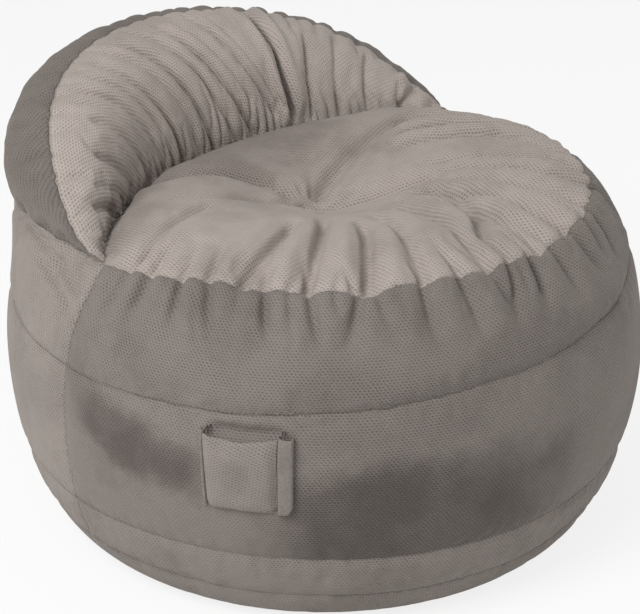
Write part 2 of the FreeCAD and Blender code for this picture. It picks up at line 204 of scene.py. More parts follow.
# every fold is made twice: broad in the sewn cloth, and again as a fine crease once the mesh is finer.
# Each time has its part of the depth, and of the width
BROAD, CREASED = (1.0, 1.30), (0.50, 0.55)


def valley(points, path, depth, width, ends=(0.0, 1.0)):
    """How far a fold along path pushes each flat point in, with a soft ridge on each side."""
    path = np.asarray(path, float)
    reach = 4.2 * width
    near = ((points > path.min(0) - reach) & (points < path.max(0) + reach)).all(1)
    some = points[near]
    best = np.full(len(some), 1e9)
    along = np.zeros(len(some))
    lengths = np.linalg.norm(np.diff(path, axis=0), axis=1)
    total, gone = lengths.sum(), 0.0
    for start, end, length in zip(path[:-1], path[1:], lengths):
        step = end - start
        t = np.clip(((some - start) @ step) / (length * length), 0.0, 1.0)
        distance = np.linalg.norm(some - start - t[:, None] * step, axis=1)
        nearer = distance < best
        best = np.where(nearer, distance, best)
        along = np.where(nearer, (gone + t * length) / total, along)
        gone += length
    # it fades in up to the first end and out after the second. An end at or past the path's own keeps it full
    rise = 1.0 if ends[0] <= 0 else ease(along, 0.0, ends[0])
    fall = 1.0 if ends[1] >= 1 else 1.0 - ease(along, ends[1], 1.0)
    away = best / width
    shape = 1.0 / (1.0 + away ** 2) ** 1.5 - 0.42 * np.exp(-((away - 2.1) / 1.0) ** 2)
    out = np.zeros(len(points))
    out[near] = depth * shape * rise * fall
    return out


def smooth_path(points, count=14):
    """More points along a smooth line through the given ones."""
    points = np.asarray(points, float)
    if len(points) < 3:
        return points
    padded = np.vstack([2 * points[0] - points[1], points, 2 * points[-1] - points[-2]])
    out = []
    for a, b, c, d in zip(padded[:-3], padded[1:-2], padded[2:-1], padded[3:]):
        t = np.linspace(0, 1, max(2, count // (len(points) - 1)) + 1)[:-1, None]
        second, third = 2 * a - 5 * b + 4 * c - d, 3 * b - a - 3 * c + d
        out.append(0.5 * (2 * b + (c - a) * t + second * t ** 2 + third * t ** 3))
    return np.vstack(out + [points[-1:]])


def pushed_in(flat, folds, stage):
    """How deep the folds are at each flat point, at one of the two stages."""
    part, narrow = stage
    depth = np.zeros(len(flat))
    for deep, wide, ends, path in folds:
        depth += valley(flat, path, part * deep, narrow * wide, ends)
    return part * DEEPEST * np.tanh(depth / (part * DEEPEST))


# ---- cutting the panels ---------------------------------------------------------------------
# Every panel is cut flat: its outline is sampled along the seams that it shares with the others,
# and the cloth inside is meshed evenly, so that it folds the same in any direction.
PITCH = 0.0085
# the mesh's rows lie ROW_RISE of its pitch apart, and its points stay CLEAR_OF_EDGE of the pitch inside
ROW_RISE, CLEAR_OF_EDGE = 0.866, 0.60
# the wall is unrolled at FLAT_RADIUS, and its seams are stepped off at SEAM_RADIUS
FLAT_RADIUS, SEAM_RADIUS = 0.45, 0.42


class Panel:
    """One flat-cut piece of cloth: its outline on the flat, and where each flat point lies in the chair.
    inset is how far it stands back from its shape before it is filled, swell how far the filling may then
    push it out, and tuck how deep it dips at its seams. core gives a point inside the chair for each place."""

    def __init__(self, name, outline, outline_places, place, folds=(), inset=0.003, swell=0.004, tuck=0.0012,
                 pitch=PITCH, core=None):
        self.name, self.folds = name, folds
        self.inset, self.swell, self.tuck = inset, swell, tuck
        outline = np.asarray(outline, float)
        low, high = outline.min(0), outline.max(0)
        self.cut = tuple(float(v) for v in high - low)
        x, y = outline[:, 0], outline[:, 1]
        self.area = abs(float((x * np.roll(y, -1) - y * np.roll(x, -1)).sum() / 2))
        rows = int((high[1] - low[1]) / (pitch * ROW_RISE)) + 1
        columns = int((high[0] - low[0]) / pitch) + 1
        column, row = np.meshgrid(np.arange(columns), np.arange(rows))
        x, y = low[0] + (column + 0.5 * (row % 2)) * pitch, low[1] + row * pitch * ROW_RISE
        grid = np.stack([x, y], -1).reshape(-1, 2)
        rng = np.random.default_rng(sum(map(ord, name)))
        grid = grid + rng.uniform(-0.16, 0.16, grid.shape) * pitch
        inside, near = self.inside(grid, outline)
        grid, near = grid[inside], near[inside]
        flat = np.concatenate([outline, grid])
        near = np.concatenate([np.zeros(len(outline)), near])
        done = delaunay_2d_cdt([Vector(p) for p in flat], [], [list(range(len(outline)))], 1, 1e-7)
        self.flat = np.array([tuple(v) for v in done[0]])
        origin = np.array([o[0] if o else -1 for o in done[3]])
        self.near = np.where(origin < 0, 0.0, near[origin])
        self.edge = (origin >= 0) & (origin < len(outline))
        self.places = place(self.flat)
        self.places[self.edge] = np.asarray(outline_places)[origin[self.edge]]
        self.triangles = np.array(done[2])
        a, b, c = (self.places[self.triangles[:, i]] for i in range(3))
        middle = (a + b + c) / 3
        away = middle - ((0.0, 0.0, 0.25) if core is None else core(middle))
        if (np.cross(b - a, c - a) * away).sum() < 0:
            self.triangles = self.triangles[:, ::-1]

    @staticmethod
    def inside(points, outline):
        """Which points lie inside the outline and well clear of it, and how far each is from it."""
        keep = np.zeros(len(points), bool)
        near = np.full(len(points), 1e9)
        for a, b in zip(outline, np.roll(outline, -1, axis=0)):
            crosses = (a[1] > points[:, 1]) != (b[1] > points[:, 1])
            with np.errstate(divide="ignore", invalid="ignore"):
                at = (b[0] - a[0]) * (points[:, 1] - a[1]) / (b[1] - a[1]) + a[0]
            keep ^= crosses & (points[:, 0] < at)
            step = b - a
            t = np.clip(((points - a) @ step) / max(step @ step, 1e-12), 0.0, 1.0)
            near = np.minimum(near, np.linalg.norm(points - a - t[:, None] * step, axis=1))
        return keep & (near > CLEAR_OF_EDGE * PITCH), near


def steps(start, end, length):
    return np.linspace(start, end, max(3, int(round(length / PITCH)) + 1))


FRONT_TURNS = steps(JOIN, 360.0 - JOIN, np.radians(360.0 - 2 * JOIN) * SEAM_RADIUS)
BACK_TURNS = steps(-JOIN, JOIN, np.radians(2 * JOIN) * SEAM_RADIUS)
# the wall's profile, and how long the cloth is from the floor up to each height
PROFILE_HEIGHTS = np.linspace(0.0, 0.52, 521)
profile_steps = np.hypot(np.diff(wall_radius(PROFILE_HEIGHTS)), np.diff(PROFILE_HEIGHTS))
PROFILE_LENGTHS = np.concatenate([[0.0], np.cumsum(profile_steps)])


def up_the_wall(height):
    return np.interp(height, PROFILE_HEIGHTS, PROFILE_LENGTHS)


def zip_opening(turn, side):
    """Half of the gap that the zip fills, up or down from its seam."""
    return side * ZIP_HALF_SLOT * ease(ZIP_HALF_ARC - np.abs(off(turn, 0.0)), 0.0, 1.2)


def on_flat(turn, height):
    """A place on the wall, as a point on its flat cloth."""
    return math.radians(turn) * FLAT_RADIUS, float(up_the_wall(height))


def wall_fold(deep, wide, ends, marks):
    """A fold in the wall, through marks of (turn, height)."""
    return deep, wide, ends, smooth_path([on_flat(turn, height) for turn, height in marks])


def wall_panel(name, turns, low, high, folds=(), **fit):
    """A band of the wall between two seams, given as heights by turn."""
    def place(flat):
        turn = np.degrees(flat[:, 0] / FLAT_RADIUS)
        return wall_point(turn, np.interp(flat[:, 1], PROFILE_LENGTHS, PROFILE_HEIGHTS))

    sides = []
    for turn in (turns[-1], turns[0]):
        bottom, top = low(turn), high(turn)
        sides.append(steps(bottom, top, up_the_wall(top) - up_the_wall(bottom)))
    path = [(t, low(t)) for t in turns] + [(turns[-1], h) for h in sides[0][1:-1]]
    path += [(t, high(t)) for t in turns[::-1]] + [(turns[0], h) for h in sides[1][-2:0:-1]]
    turn, height = np.array(path).T
    outline = np.stack([np.radians(turn) * FLAT_RADIUS, up_the_wall(height)], -1)
    return Panel(name, outline, wall_point(turn, height), place, folds, **fit)


def seam_gathers(first, last, seed, spacing):
    """Uneven gathers that hang from a seam: each is its turn, and its strength, length and lean."""
    rng = random.Random(seed)
    at, out = first + spacing * 0.4, []
    while at < last - spacing * 0.3:
        out.append((at, rng.uniform(0.3, 1.0) ** 1.5, rng.uniform(0.35, 1.0), rng.uniform(-0.35, 0.35)))
        at += spacing * rng.uniform(0.55, 1.6)
    return out


LIGHT_GATHERS = seam_gathers(86.0, 274.0, FOLD_SEED, 4.6)
# among them, from the -X side seam past the front, stand fewer and stronger ones, given by depth and length
STRONG_GATHERS = [(turn, 0.005 + 0.006 * strength, 0.055 + 0.05 * length, 1.3 * lean)
                  for turn, strength, length, lean in seam_gathers(88.0, 236.0, FOLD_SEED + 7, 7.4)]
BACK_GATHERS = seam_gathers(-82.0, 82.0, FOLD_SEED + 1, 7.0)


def below_seam(turn, deep, length, lean, wide=0.0095):
    """A gather in the band below a seam. lean is how far it swings sideways for its length."""
    x, y = on_flat(turn, float(seam_top(np.float64(turn))[1]))
    path = ((x, y + 0.004), (x + 0.35 * lean * length, y - 0.45 * length), (x + lean * length, y - length))
    return deep, wide, (0.0, 0.35), smooth_path(path)


front_band_folds = [below_seam(*row) for row in STRONG_GATHERS]
front_band_folds += [below_seam(turn, 0.0042 * strength, 0.075 * length, lean, 0.007)
                     for turn, strength, length, lean in LIGHT_GATHERS]
back_band_folds = [below_seam(turn, 0.006 * strength, 0.07 * length, lean)
                   for turn, strength, length, lean in BACK_GATHERS]
# under each end of the bolster the wall is drawn in, from the notch down to the side seam: each pull
# is its depth and width, the turn it starts at, and how far below the notch
DRAWN_IN = ((0.0085, 0.0105, 56.0, 0.002), (0.0050, 0.0080, 66.0, 0.030), (0.0040, 0.0080, 74.0, 0.012))
DRAWN_FROM, DRAWN_DROP = 0.468, 0.050
for side in (1, -1):
    for deep, wide, start, below in DRAWN_IN:
        turns = np.linspace(start, JOIN - 1.0, 6)
        heights = DRAWN_FROM - below - DRAWN_DROP * ((turns - start) / (JOIN - start)) ** 1.5
        back_band_folds.append(wall_fold(deep, wide, (0.15, 0.75), zip(side * turns, heights)))
# the hollow along the pocket's mouth, and a light pull that runs on past each end of it
side_wall_folds = [
    wall_fold(0.0065, 0.0120, (0.20, 0.80), ((114.5, 0.325), (118, 0.3225), (124, 0.322), (128.5, 0.327))),
    wall_fold(0.0025, 0.0090, (0.0, 0.3), ((113.0, 0.330), (108, 0.336), (102, 0.338))),
    wall_fold(0.0025, 0.0090, (0.0, 0.3), ((130.5, 0.330), (136, 0.338), (143, 0.342))),
]


def level(height):
    return lambda turn: height + 0.0 * turn


def bolster_core(places):
    """The middle of the bolster, beside each place."""
    return placed(turn_of(places[:, 0], places[:, 1]), 0.395, 0.50)


def crescent(name, point, low_places, high_places, folds=(), **fit):
    """One of the bolster's two panels: a crescent between its long seams, which meet at each side seam. Each
    fold is its depth, width and ends, then its marks: a turn, and a share of the way over the crescent."""
    fine = np.linspace(0, 1, 40)
    stations = np.linspace(-JOIN, JOIN, 169)
    reach = [np.linalg.norm(np.diff(point(np.full(40, turn), fine), axis=0), axis=1).sum() for turn in stations]

    def across(turn):
        return np.interp(turn, stations, reach)

    def place(flat):
        turn = np.degrees(flat[:, 0] / FLAT_RADIUS)
        return point(turn, np.clip(flat[:, 1] / np.maximum(across(turn), 1e-4), 0, 1))

    def on_crescent(row):
        deep, wide, ends, *marks = row
        turn, share = smooth_path(marks).T
        return deep, wide, ends, np.stack([np.radians(turn) * FLAT_RADIUS, share * across(turn)], -1)

    turns = BACK_TURNS
    low = np.stack([np.radians(turns) * FLAT_RADIUS, 0 * turns], -1)
    high = np.stack([np.radians(turns) * FLAT_RADIUS, across(turns)], -1)[1:-1][::-1]
    places = np.concatenate([low_places, high_places[1:-1][::-1]])
    rows = [on_crescent(row) for row in folds]
    return Panel(name, np.concatenate([low, high]), places, place, rows, core=bolster_core, **fit)


def drifting(turn, drift, start, stop, deep, wide, ends=(0.12, 1.1), late=1.8):
    """A fold down the bolster's face, from share start to share stop of the way from crest to crease. It
    leaves the crest at the turn, and drifts towards -turn, the more the lower it comes."""
    share = np.linspace(start, stop, 7)
    return (deep, wide, ends) + tuple(zip(turn - drift * share ** late, share))


# the deep pleat on the +X side, with a short twin beside it, and the crease that pinches off that end
PLEAT_TURN, END_CREASE_TURN = -25.0, -69.0
FACE_FOLDS = [
    drifting(PLEAT_TURN, 12.5, 0.0, 0.95, 0.0190, 0.0092, (0.06, 0.88), 1.2),
    drifting(PLEAT_TURN - 1.0, 10.5, 0.50, 0.95, 0.0110, 0.0065, (0.25, 0.85), 1.6),
    drifting(END_CREASE_TURN, -1.5, 0.02, 0.95, 0.0100, 0.0085, (0.05, 0.95)),
]
# from the pleat to the other end the face hangs in a fan of folds, strong and light by turns
rng = random.Random(FOLD_SEED + 8)
fan_turn, strong = 72.0, True
while fan_turn > PLEAT_TURN + 8.0:
    deep = rng.uniform(0.0055, 0.0095) if strong else rng.uniform(0.0020, 0.0050)
    start = rng.uniform(0.0, 0.15) + 0.35 * float(ease(np.float64(fan_turn), 40.0, 55.0))
    stop = 1.0 if fan_turn > 0 else rng.uniform(0.75, 1.0)
    drift = 13.0 + 13.0 * float(ease(np.float64(-fan_turn), -30.0, 0.0))
    FACE_FOLDS.append(drifting(fan_turn, drift, start, stop, deep, 0.0087 if strong else 0.0070, (0.12, 1.1)))
    fan_turn -= rng.uniform(3.6, 8.0)
    strong = not strong
# and beyond the pleat it is nearly smooth
for turn in np.arange(PLEAT_TURN - 15.0, END_CREASE_TURN - 10.0, -8.5):
    start, deep = rng.uniform(0.05, 0.3), rng.uniform(0.004, 0.005)
    FACE_FOLDS.append(drifting(turn, 3.0, start, 0.95, deep, 0.0085, (0.15, 0.95)))


def light_folds(seed, first, last, spacing, deep, wide, from_low, drift):
    """Fine creases that start at one of a crescent's seams: from_low means the one at share 0. drift is how
    far, in degrees, a crease right over the crescent would wander."""
    rng = random.Random(seed)
    at, out = first, []
    while at < last:
        edge, length = (-0.02, rng.uniform(0.25, 0.6)) if from_low else (1.02, -rng.uniform(0.25, 0.5))
        away = drift * abs(length) * rng.uniform(0.7, 1.3) * (-1 if from_low else 1)
        marks = ((at, edge), (at + 0.3 * away, edge + 0.5 * length), (at + away, edge + length))
        out.append((deep * rng.uniform(0.4, 1.0), wide, (-1, 0.3)) + marks)
        at += spacing * rng.uniform(0.6, 1.5)
    return out


FACE_FOLDS += light_folds(FOLD_SEED + 2, -76, 76, 4.0, .0030, .0060, True, 4.0)
FACE_FOLDS += light_folds(FOLD_SEED + 4, -72, 60, 3.6, .0040, .0062, False, 14.0)
OUTER_FOLDS = light_folds(FOLD_SEED + 3, -76, 78, 5.5, .0050, .0085, False, 3.0)
OUTER_FOLDS += light_folds(FOLD_SEED + 5, -74, 76, 6.0, .0055, .0090, True, 3.0)

# the seat is pinched in near its middle, and its folds run out from there. Bearings are in degrees
# from +X, and reaches are in metres from the pinch
PINCH = np.array((-0.02, 0.012))


def out_from_pinch(bearing, swing, start, stop, deep, wide, ends=(0.15, 1.1)):
    """A fold from one reach to another. It ends on its bearing, and starts on bearing + swing."""
    share = np.linspace(0, 1, 6)
    angle = np.radians(bearing + swing * (1 - share) ** 1.2)
    reach = (start + (stop - start) * share)[:, None]
    return deep, wide, ends, smooth_path(PINCH + reach * np.stack([np.cos(angle), np.sin(angle)], -1))


seat_folds = [
    # the broad valleys: back towards the crease, out to +X, two to the front and two out to -X
    out_from_pinch(138.0, -44.0, 0.02, 0.21, 0.0110, 0.0135, (0.10, 1.1)),
    out_from_pinch(10.0, 14.0, 0.015, 0.26, 0.0120, 0.0160, (0.12, 1.1)),
    out_from_pinch(-45.0, 0.0, 0.0, 0.195, 0.0150, 0.0160, (-1, 0.80)),
    out_from_pinch(-94.0, 35.0, 0.16, 0.35, 0.0150, 0.0140, (0.15, 0.80)),
    out_from_pinch(-176.0, -8.0, 0.16, 0.35, 0.0075, 0.0110, (0.15, 0.85)),
    out_from_pinch(162.0, 15.0, 0.02, 0.23, 0.0050, 0.0100, (0.15, 0.85)),
]
# in front of them a fan of folds reaches the seam, finer and more swept round towards +X
rng = random.Random(FOLD_SEED + 9)
bearing = -150.0
while bearing < -8.0:
    swept = float(ease(np.float64(bearing), -65.0, -20.0))
    deep = rng.uniform(0.0085, 0.0130) - 0.0015 * swept
    start, wide = rng.uniform(0.10, 0.20) + 0.05 * swept, 0.0108 - 0.0042 * swept
    seat_folds.append(out_from_pinch(bearing, 10.0 + 20.0 * swept, start, 0.40, deep, wide, (0.20, 1.1)))
    bearing += rng.uniform(8.0, 14.5) * (1.0 - 0.50 * swept)
# the gathers of the wall's seam go on inside it, the strong ones leaning the other way
seat_gathers = LIGHT_GATHERS + [(turn, 1.6 * deep / 0.009, length / 0.075, -0.5 * lean)
                                for turn, deep, length, lean in STRONG_GATHERS]
for turn, strength, length, lean in seat_gathers:
    outward = np.array(direction(turn))
    edge, sideways = outward * SEAT_RADIUS, np.array((-outward[1], outward[0]))
    path = (edge + 0.004 * outward, edge + 0.075 * length * (lean * sideways - outward))
    seat_folds.append((0.0042 * strength, 0.0072, (-1, 0.2), np.array(path)))
# and a star of small creases runs out from the lowest point
LOWEST = np.array((-0.014, 0.010))
for turn in range(0, 360, 24):
    outward = np.array(direction(turn + 5.0))
    seat_folds.append((0.004, 0.007, (0.0, 0.2), np.array((LOWEST + 0.012 * outward, LOWEST + 0.09 * outward))))

# the seams that the panels share
notch = wall_point(BACK_TURNS, seam_top(BACK_TURNS)[1])
crest = outer_point(BACK_TURNS, np.ones(len(BACK_TURNS)))
crease = face_point(BACK_TURNS, np.ones(len(BACK_TURNS)))
crest[0] = crease[0] = notch[0]
crest[-1] = crease[-1] = notch[-1]


def top_of_wall(turn):
    return seam_top(turn)[1]


def zip_edge(side):
    return lambda turn: zip_seam_height(turn) + zip_opening(turn, side)


# the seat and the face have the finest folds, so their cloth is meshed more finely than the rest. FULL is
# how far the gathered panels may be pushed out
FACE_PITCH, SEAT_PITCH, BASE_PITCH = 0.0070, 0.0073, 0.012
FULL = 0.006
panels = []
for end, turns, band_folds, wall_folds in (
        ("front", FRONT_TURNS, front_band_folds, side_wall_folds), ("back", BACK_TURNS, back_band_folds, [])):
    panels.append(wall_panel("lower_band_" + end, turns, level(BASE_SEAM), zip_edge(-1)))
    panels.append(wall_panel("side_wall_" + end, turns, zip_edge(1), upper_seam_height, wall_folds))
    panels.append(wall_panel("upper_band_" + end, turns, upper_seam_height, top_of_wall, band_folds,
                             swell=FULL, tuck=0.002))
panels.append(crescent("backrest_outer_panel", outer_point, notch, crest, OUTER_FOLDS,
                       inset=0.005, swell=FULL, tuck=0.003))
panels.append(crescent("backrest_face_panel", face_point, crest, crease, FACE_FOLDS,
                       inset=0.004, swell=FULL, tuck=0.002, pitch=FACE_PITCH))

front_rim = wall_point(FRONT_TURNS, top_of_wall(FRONT_TURNS))
seat_rim = np.concatenate([front_rim, crease[1:-1]])
panels.append(Panel("seat_panel", seat_rim[:, :2], seat_rim, lambda flat: seat_point(flat[:, 0], flat[:, 1]),
                    seat_folds, swell=FULL, tuck=0.003, pitch=SEAT_PITCH))

base_turns = np.concatenate([FRONT_TURNS, (BACK_TURNS + 360.0)[1:-1]])
base_rim = wall_point(base_turns, np.full(len(base_turns), BASE_SEAM))
BASE_HEIGHTS = np.linspace(0.0, BASE_SEAM, 25)
BASE_FLAT = DRUM_RADIUS - TUCK + up_the_wall(BASE_HEIGHTS)


def base_place(flat):
    """The base lies flat and turns up at its rim to meet the lower band."""
    radius = np.hypot(flat[:, 0], flat[:, 1])
    rim = np.interp(radius, BASE_FLAT, wall_radius(BASE_HEIGHTS))
    height = np.interp(radius, BASE_FLAT, BASE_HEIGHTS)
    return placed(turn_of(flat[:, 0], flat[:, 1]), np.where(radius > BASE_FLAT[0], rim, radius), height)


panels.append(Panel("base_panel", np.stack(direction(base_turns), -1) * BASE_FLAT[-1], base_rim, base_place,
                    inset=0.002, swell=0.002, pitch=BASE_PITCH))

# ---- sewing and filling ---------------------------------------------------------------------
# The panels are sewn along their shared edges, and the filling presses the cloth outwards. The
# seams hold and sit in a shallow tuck; the cloth between them swells round its folds.
SEAM_TUCK_WIDTH = 0.0060
FILLING_STEPS = 18


def sewn(pieces):
    """Joins the panels into one cloth: its points and triangles, what each point gets from its panels on
    average (fold depth, inset and swell), and whether it is held by a seam."""
    places, index, triangles, facts, uses, held = [], {}, [], [], [], []
    for piece in pieces:
        ids = np.zeros(len(piece.flat), int)
        depth = pushed_in(piece.flat, piece.folds, BROAD)
        for i, point in enumerate(piece.places):
            fact = np.array((depth[i], piece.inset, piece.swell))
            key = tuple(np.round(point, 5)) if piece.edge[i] else None
            if key is None or key not in index:
                ids[i] = len(places)
                if key is not None:
                    index[key] = ids[i]
                places.append(point)
                facts.append(fact)
                uses.append(1)
                held.append(piece.edge[i])
            else:
                ids[i] = index[key]
                facts[ids[i]] = facts[ids[i]] + fact
                uses[ids[i]] += 1
        triangles.append(ids[piece.triangles])
    facts = np.array(facts) / np.array(uses)[:, None]
    return np.array(places), np.concatenate(triangles), facts, np.array(held)


def normals_of(points, faces):
    """The way out at each point of a mesh of triangles, or of squares."""
    corners = points[faces]
    first, second = corners[:, 1] - corners[:, 0], corners[:, 2] - corners[:, 0]
    if faces.shape[1] == 4:
        first, second = second, corners[:, 3] - corners[:, 1]
    across = np.cross(first, second)
    out = np.zeros_like(points)
    for i in range(faces.shape[1]):
        np.add.at(out, faces[:, i], across)
    return out / np.maximum(np.linalg.norm(out, axis=1), 1e-12)[:, None]


def give(places):
    """How freely the cloth may leave its line: not on the floor, nor beside the zip, which is sewn flat, and
    hardly where all the seams meet at the bolster's ends."""
    away = np.abs(off(turn_of(places[:, 0], places[:, 1]), 0.0))
    along_zip = 1 - ease(away, ZIP_HALF_ARC, ZIP_HALF_ARC + 8)
    by_zip = along_zip * (1 - ease(np.abs(places[:, 2] - ZIP_SEAM), 0.012, 0.04))
    joins = [placed(side * JOIN, SEAT_RADIUS, JUNCTION_HEIGHT) for side in (1, -1)]
    from_join = np.minimum(*(np.linalg.norm(places - join, axis=1) for join in joins))
    return ease(places[:, 2], 0.0, 0.05) * (1 - by_zip) * (0.15 + 0.85 * ease(from_join, 0.004, 0.040))


def shown(name, data):
    """A new object in the scene."""
    made = bpy.data.objects.new(name, data)
    bpy.context.scene.collection.objects.link(made)
    return made


def evaluated(thing):
    """The mesh of a piece with its modifiers applied."""
    return thing.evaluated_get(bpy.context.evaluated_depsgraph_get()).to_mesh()


def read(data, key, width, kind=float):
    """A mesh's values as an array, width to a row."""
    out = np.empty(len(data) * width, kind)
    data.foreach_get(key, out)
    return out.reshape(-1, width) if width > 1 else out


places, triangles, facts, held = sewn(panels)
loose = give(places)
start = places - normals_of(places, triangles) * ((facts[:, 0] + facts[:, 1]) * loose)[:, None]

cloth = bpy.data.meshes.new("cloth")
cloth.from_pydata(start.tolist(), [], triangles.tolist())
cover = shown("cloth", cloth)
pins = cover.vertex_groups.new(name="seams")
pins.add(np.nonzero(held | (places[:, 2] < 0.004))[0].tolist(), 1.0, "REPLACE")
fill = cover.modifiers.new("fill", "CLOTH")
fill.settings.quality = 4
fill.settings.mass = 0.25
fill.settings.tension_stiffness = fill.settings.compression_stiffness = 20.0
fill.settings.shear_stiffness = 10.0
fill.settings.bending_stiffness = 0.35
fill.settings.air_damping = 2.0
fill.settings.use_pressure = True
fill.settings.uniform_pressure_force = 3.0
fill.settings.shrink_min = -0.025
fill.settings.vertex_group_mass = "seams"
fill.settings.effector_weights.gravity = 0.0
fill.collision_settings.use_collision = False
fill.collision_settings.use_self_collision = False
for step in range(1, FILLING_STEPS + 1):
    bpy.context.scene.frame_set(step)
# no point moves further than its panel's swell lets it
shift = read(evaluated(cover).vertices, "co", 3) - start
size = np.linalg.norm(shift, axis=1)
shift *= (np.minimum(size, facts[:, 2] * np.maximum(loose, 0.05)) / np.maximum(size, 1e-9))[:, None]
start = start + shift
bpy.data.objects.remove(cover)
bpy.context.scene.frame_set(1)
start[:, 2] = np.maximum(start[:, 2], 0.0)

# the cloth is made finer, then creased along the bottom of each fold and tucked in at its seams
cloth = bpy.data.meshes.new("cloth")
cloth.from_pydata(start.tolist(), [], triangles.tolist())
from_edge = [np.stack([panel.near, 0 * panel.near], -1) for panel in panels]
for layer_name, values in (("cloth", [panel.flat for panel in panels]), ("edge", from_edge)):
    corners = np.concatenate([value[panel.triangles].reshape(-1, 2) for panel, value in zip(panels, values)])
    cloth.uv_layers.new(name=layer_name).data.foreach_set("uv", corners.ravel())
# each panel has an empty material slot, so that its faces still tell their panel when they are finer
cloth.polygons.foreach_set("material_index", np.repeat(np.arange(len(panels)), [len(p.triangles) for p in panels]))
for _ in panels:
    cloth.materials.append(None)
cover = shown("cloth", cloth)
finer = cover.modifiers.new("finer", "SUBSURF")
finer.levels = finer.render_levels = 1
finer.uv_smooth = "NONE"
fine = evaluated(cover)
fine_points = read(fine.vertices, "co", 3)
fine_faces = read(fine.loops, "vertex_index", 1, int).reshape(-1, 4)
fine_flat = read(fine.uv_layers["cloth"].data, "uv", 2).reshape(-1, 4, 2)
fine_near = read(fine.uv_layers["edge"].data, "uv", 2).reshape(-1, 4, 2)
fine_owner = read(fine.polygons, "material_index", 1, int)
bpy.data.objects.remove(cover)

crease_depth, crease_uses = np.zeros(len(fine_points)), np.zeros(len(fine_points))
for number, panel in enumerate(panels):
    mine = fine_owner == number
    ids = fine_faces[mine].ravel()
    unique, first = np.unique(ids, return_index=True)
    depth = pushed_in(fine_flat[mine].reshape(-1, 2)[first], panel.folds, CREASED)
    depth += panel.tuck * np.exp(-(fine_near[mine].reshape(-1, 2)[first, 0] / SEAM_TUCK_WIDTH) ** 2)
    crease_depth[unique] += depth
    crease_uses[unique] += 1
crease_depth *= give(fine_points) / np.maximum(crease_uses, 1)
fine_points = fine_points - normals_of(fine_points, fine_faces) * crease_depth[:, None]
fine_points[:, 2] = np.maximum(fine_points[:, 2], 0.0)

# ---- the cover's plush ----------------------------------------------------------------------
# A knitted plush with staggered dimples, painted darker as shade in their hollows. Its pile is brushed one way,
# so a panel cut across looks darker, and each panel's brightness also holds painted light and shade for how the
# lamps fall on it. In places it is painted darker, partly as pile lying another way and partly as painted shade.


class Socket:
    """A shader value that Python's operators work on."""
    tree = None

    def __init__(self, link):
        self.link = link

    @classmethod
    def node(cls, kind, out=0, settings=(), **inputs):
        """A new node. Each input goes by its name, with _ for a space, or by its number after an i."""
        node = cls.tree.nodes.new("ShaderNode" + kind)
        for key, value in dict(settings).items():
            setattr(node, key, value)
        for key, value in inputs.items():
            socket = node.inputs[int(key[1:])] if key[1:].isdigit() else node.inputs[key.replace("_", " ")]
            if isinstance(value, Socket):
                cls.tree.links.new(value.link, socket)
            else:
                socket.default_value = value
        return cls(node.outputs[out])

    def out(self, number):
        """Another output of the same node."""
        return Socket(self.link.node.outputs[number])

    def maths(self, operation, *others):
        inputs = {"i%d" % i: value for i, value in enumerate((self,) + others)}
        return Socket.node("Math", settings={"operation": operation}, **inputs)

    def __add__(self, other):
        return self.maths("ADD", other)

    def __mul__(self, other):
        return self.maths("MULTIPLY", other)

    def __sub__(self, other):
        return self.maths("SUBTRACT", other)

    def __rsub__(self, other):
        return (self * -1.0) + other

    def __truediv__(self, other):
        return self.maths("DIVIDE", other)

    __radd__, __rmul__ = __add__, __mul__

    def mix(self, low, high):
        """Colour low where this is 0, and high where it is 1."""
        return Socket.node("Mix", out=2, settings={"data_type": "RGBA"}, i0=self, i6=low, i7=high)

    def between(self, low, high):
        return Socket.node("MapRange", settings={"interpolation_type": "SMOOTHSTEP"}, i0=self, i1=low, i2=high)


def material(colour, roughness, normal=None, **constants):
    """Finishes the material that Socket.tree is building."""
    shader = Socket.tree.nodes.new("ShaderNodeBsdfPrincipled")
    for key, value in {"Base Color": colour, "Roughness": roughness, "Normal": normal}.items():
        if isinstance(value, Socket):
            Socket.tree.links.new(value.link, shader.inputs[key])
        elif value is not None:
            shader.inputs[key].default_value = value
    for key, value in constants.items():
        shader.inputs[key.replace("_", " ")].default_value = value
    output = Socket.tree.nodes.new("ShaderNodeOutputMaterial")
    Socket.tree.links.new(shader.outputs[0], output.inputs[0])


def new_material(name):
    made = bpy.data.materials.new(name)
    made.use_nodes = True
    made.node_tree.nodes.clear()
    Socket.tree = made.node_tree
    return made


def srgb(*values):
    return tuple(((v / 255 + 0.055) / 1.055) ** 2.4 for v in values) + (1.0,)


def flat_place(uv_map="cloth"):
    """A place on the flat cut, in metres."""
    return Socket.node("UVMap", settings={"uv_map": uv_map})


def chair_place():
    """A place in the chair, in metres."""
    return Socket.node("TexCoord", out=3)


def axes(place):
    """A place's three parts."""
    x = Socket.node("SeparateXYZ", i0=place)
    return x, x.out(1), x.out(2)


def noise(place, scale, detail, roughness=0.5):
    return Socket.node("TexNoise", Vector=place, Scale=scale, Detail=detail, Roughness=roughness)


def bumped(height, strength, distance):
    return Socket.node("Bump", Strength=strength, Distance=distance, Height=height)


def shades(strength, light=(180, 170, 163), dark=(110, 101, 96)):
    """The two shades of the pile on one panel, each scaled by strength: partly the panel's pile direction, partly
    painted light and shade.
    """
    return tuple(tuple(v * strength for v in srgb(*colour)[:3]) + (1.0,) for colour in (light, dark))


PILE_SHEEN = {"Sheen_Weight": 0.30, "Sheen_Roughness": 0.45, "Sheen_Tint": srgb(205, 198, 190),
              "Specular_IOR_Level": 0.15}
PILE_ROUGHNESS = 0.92


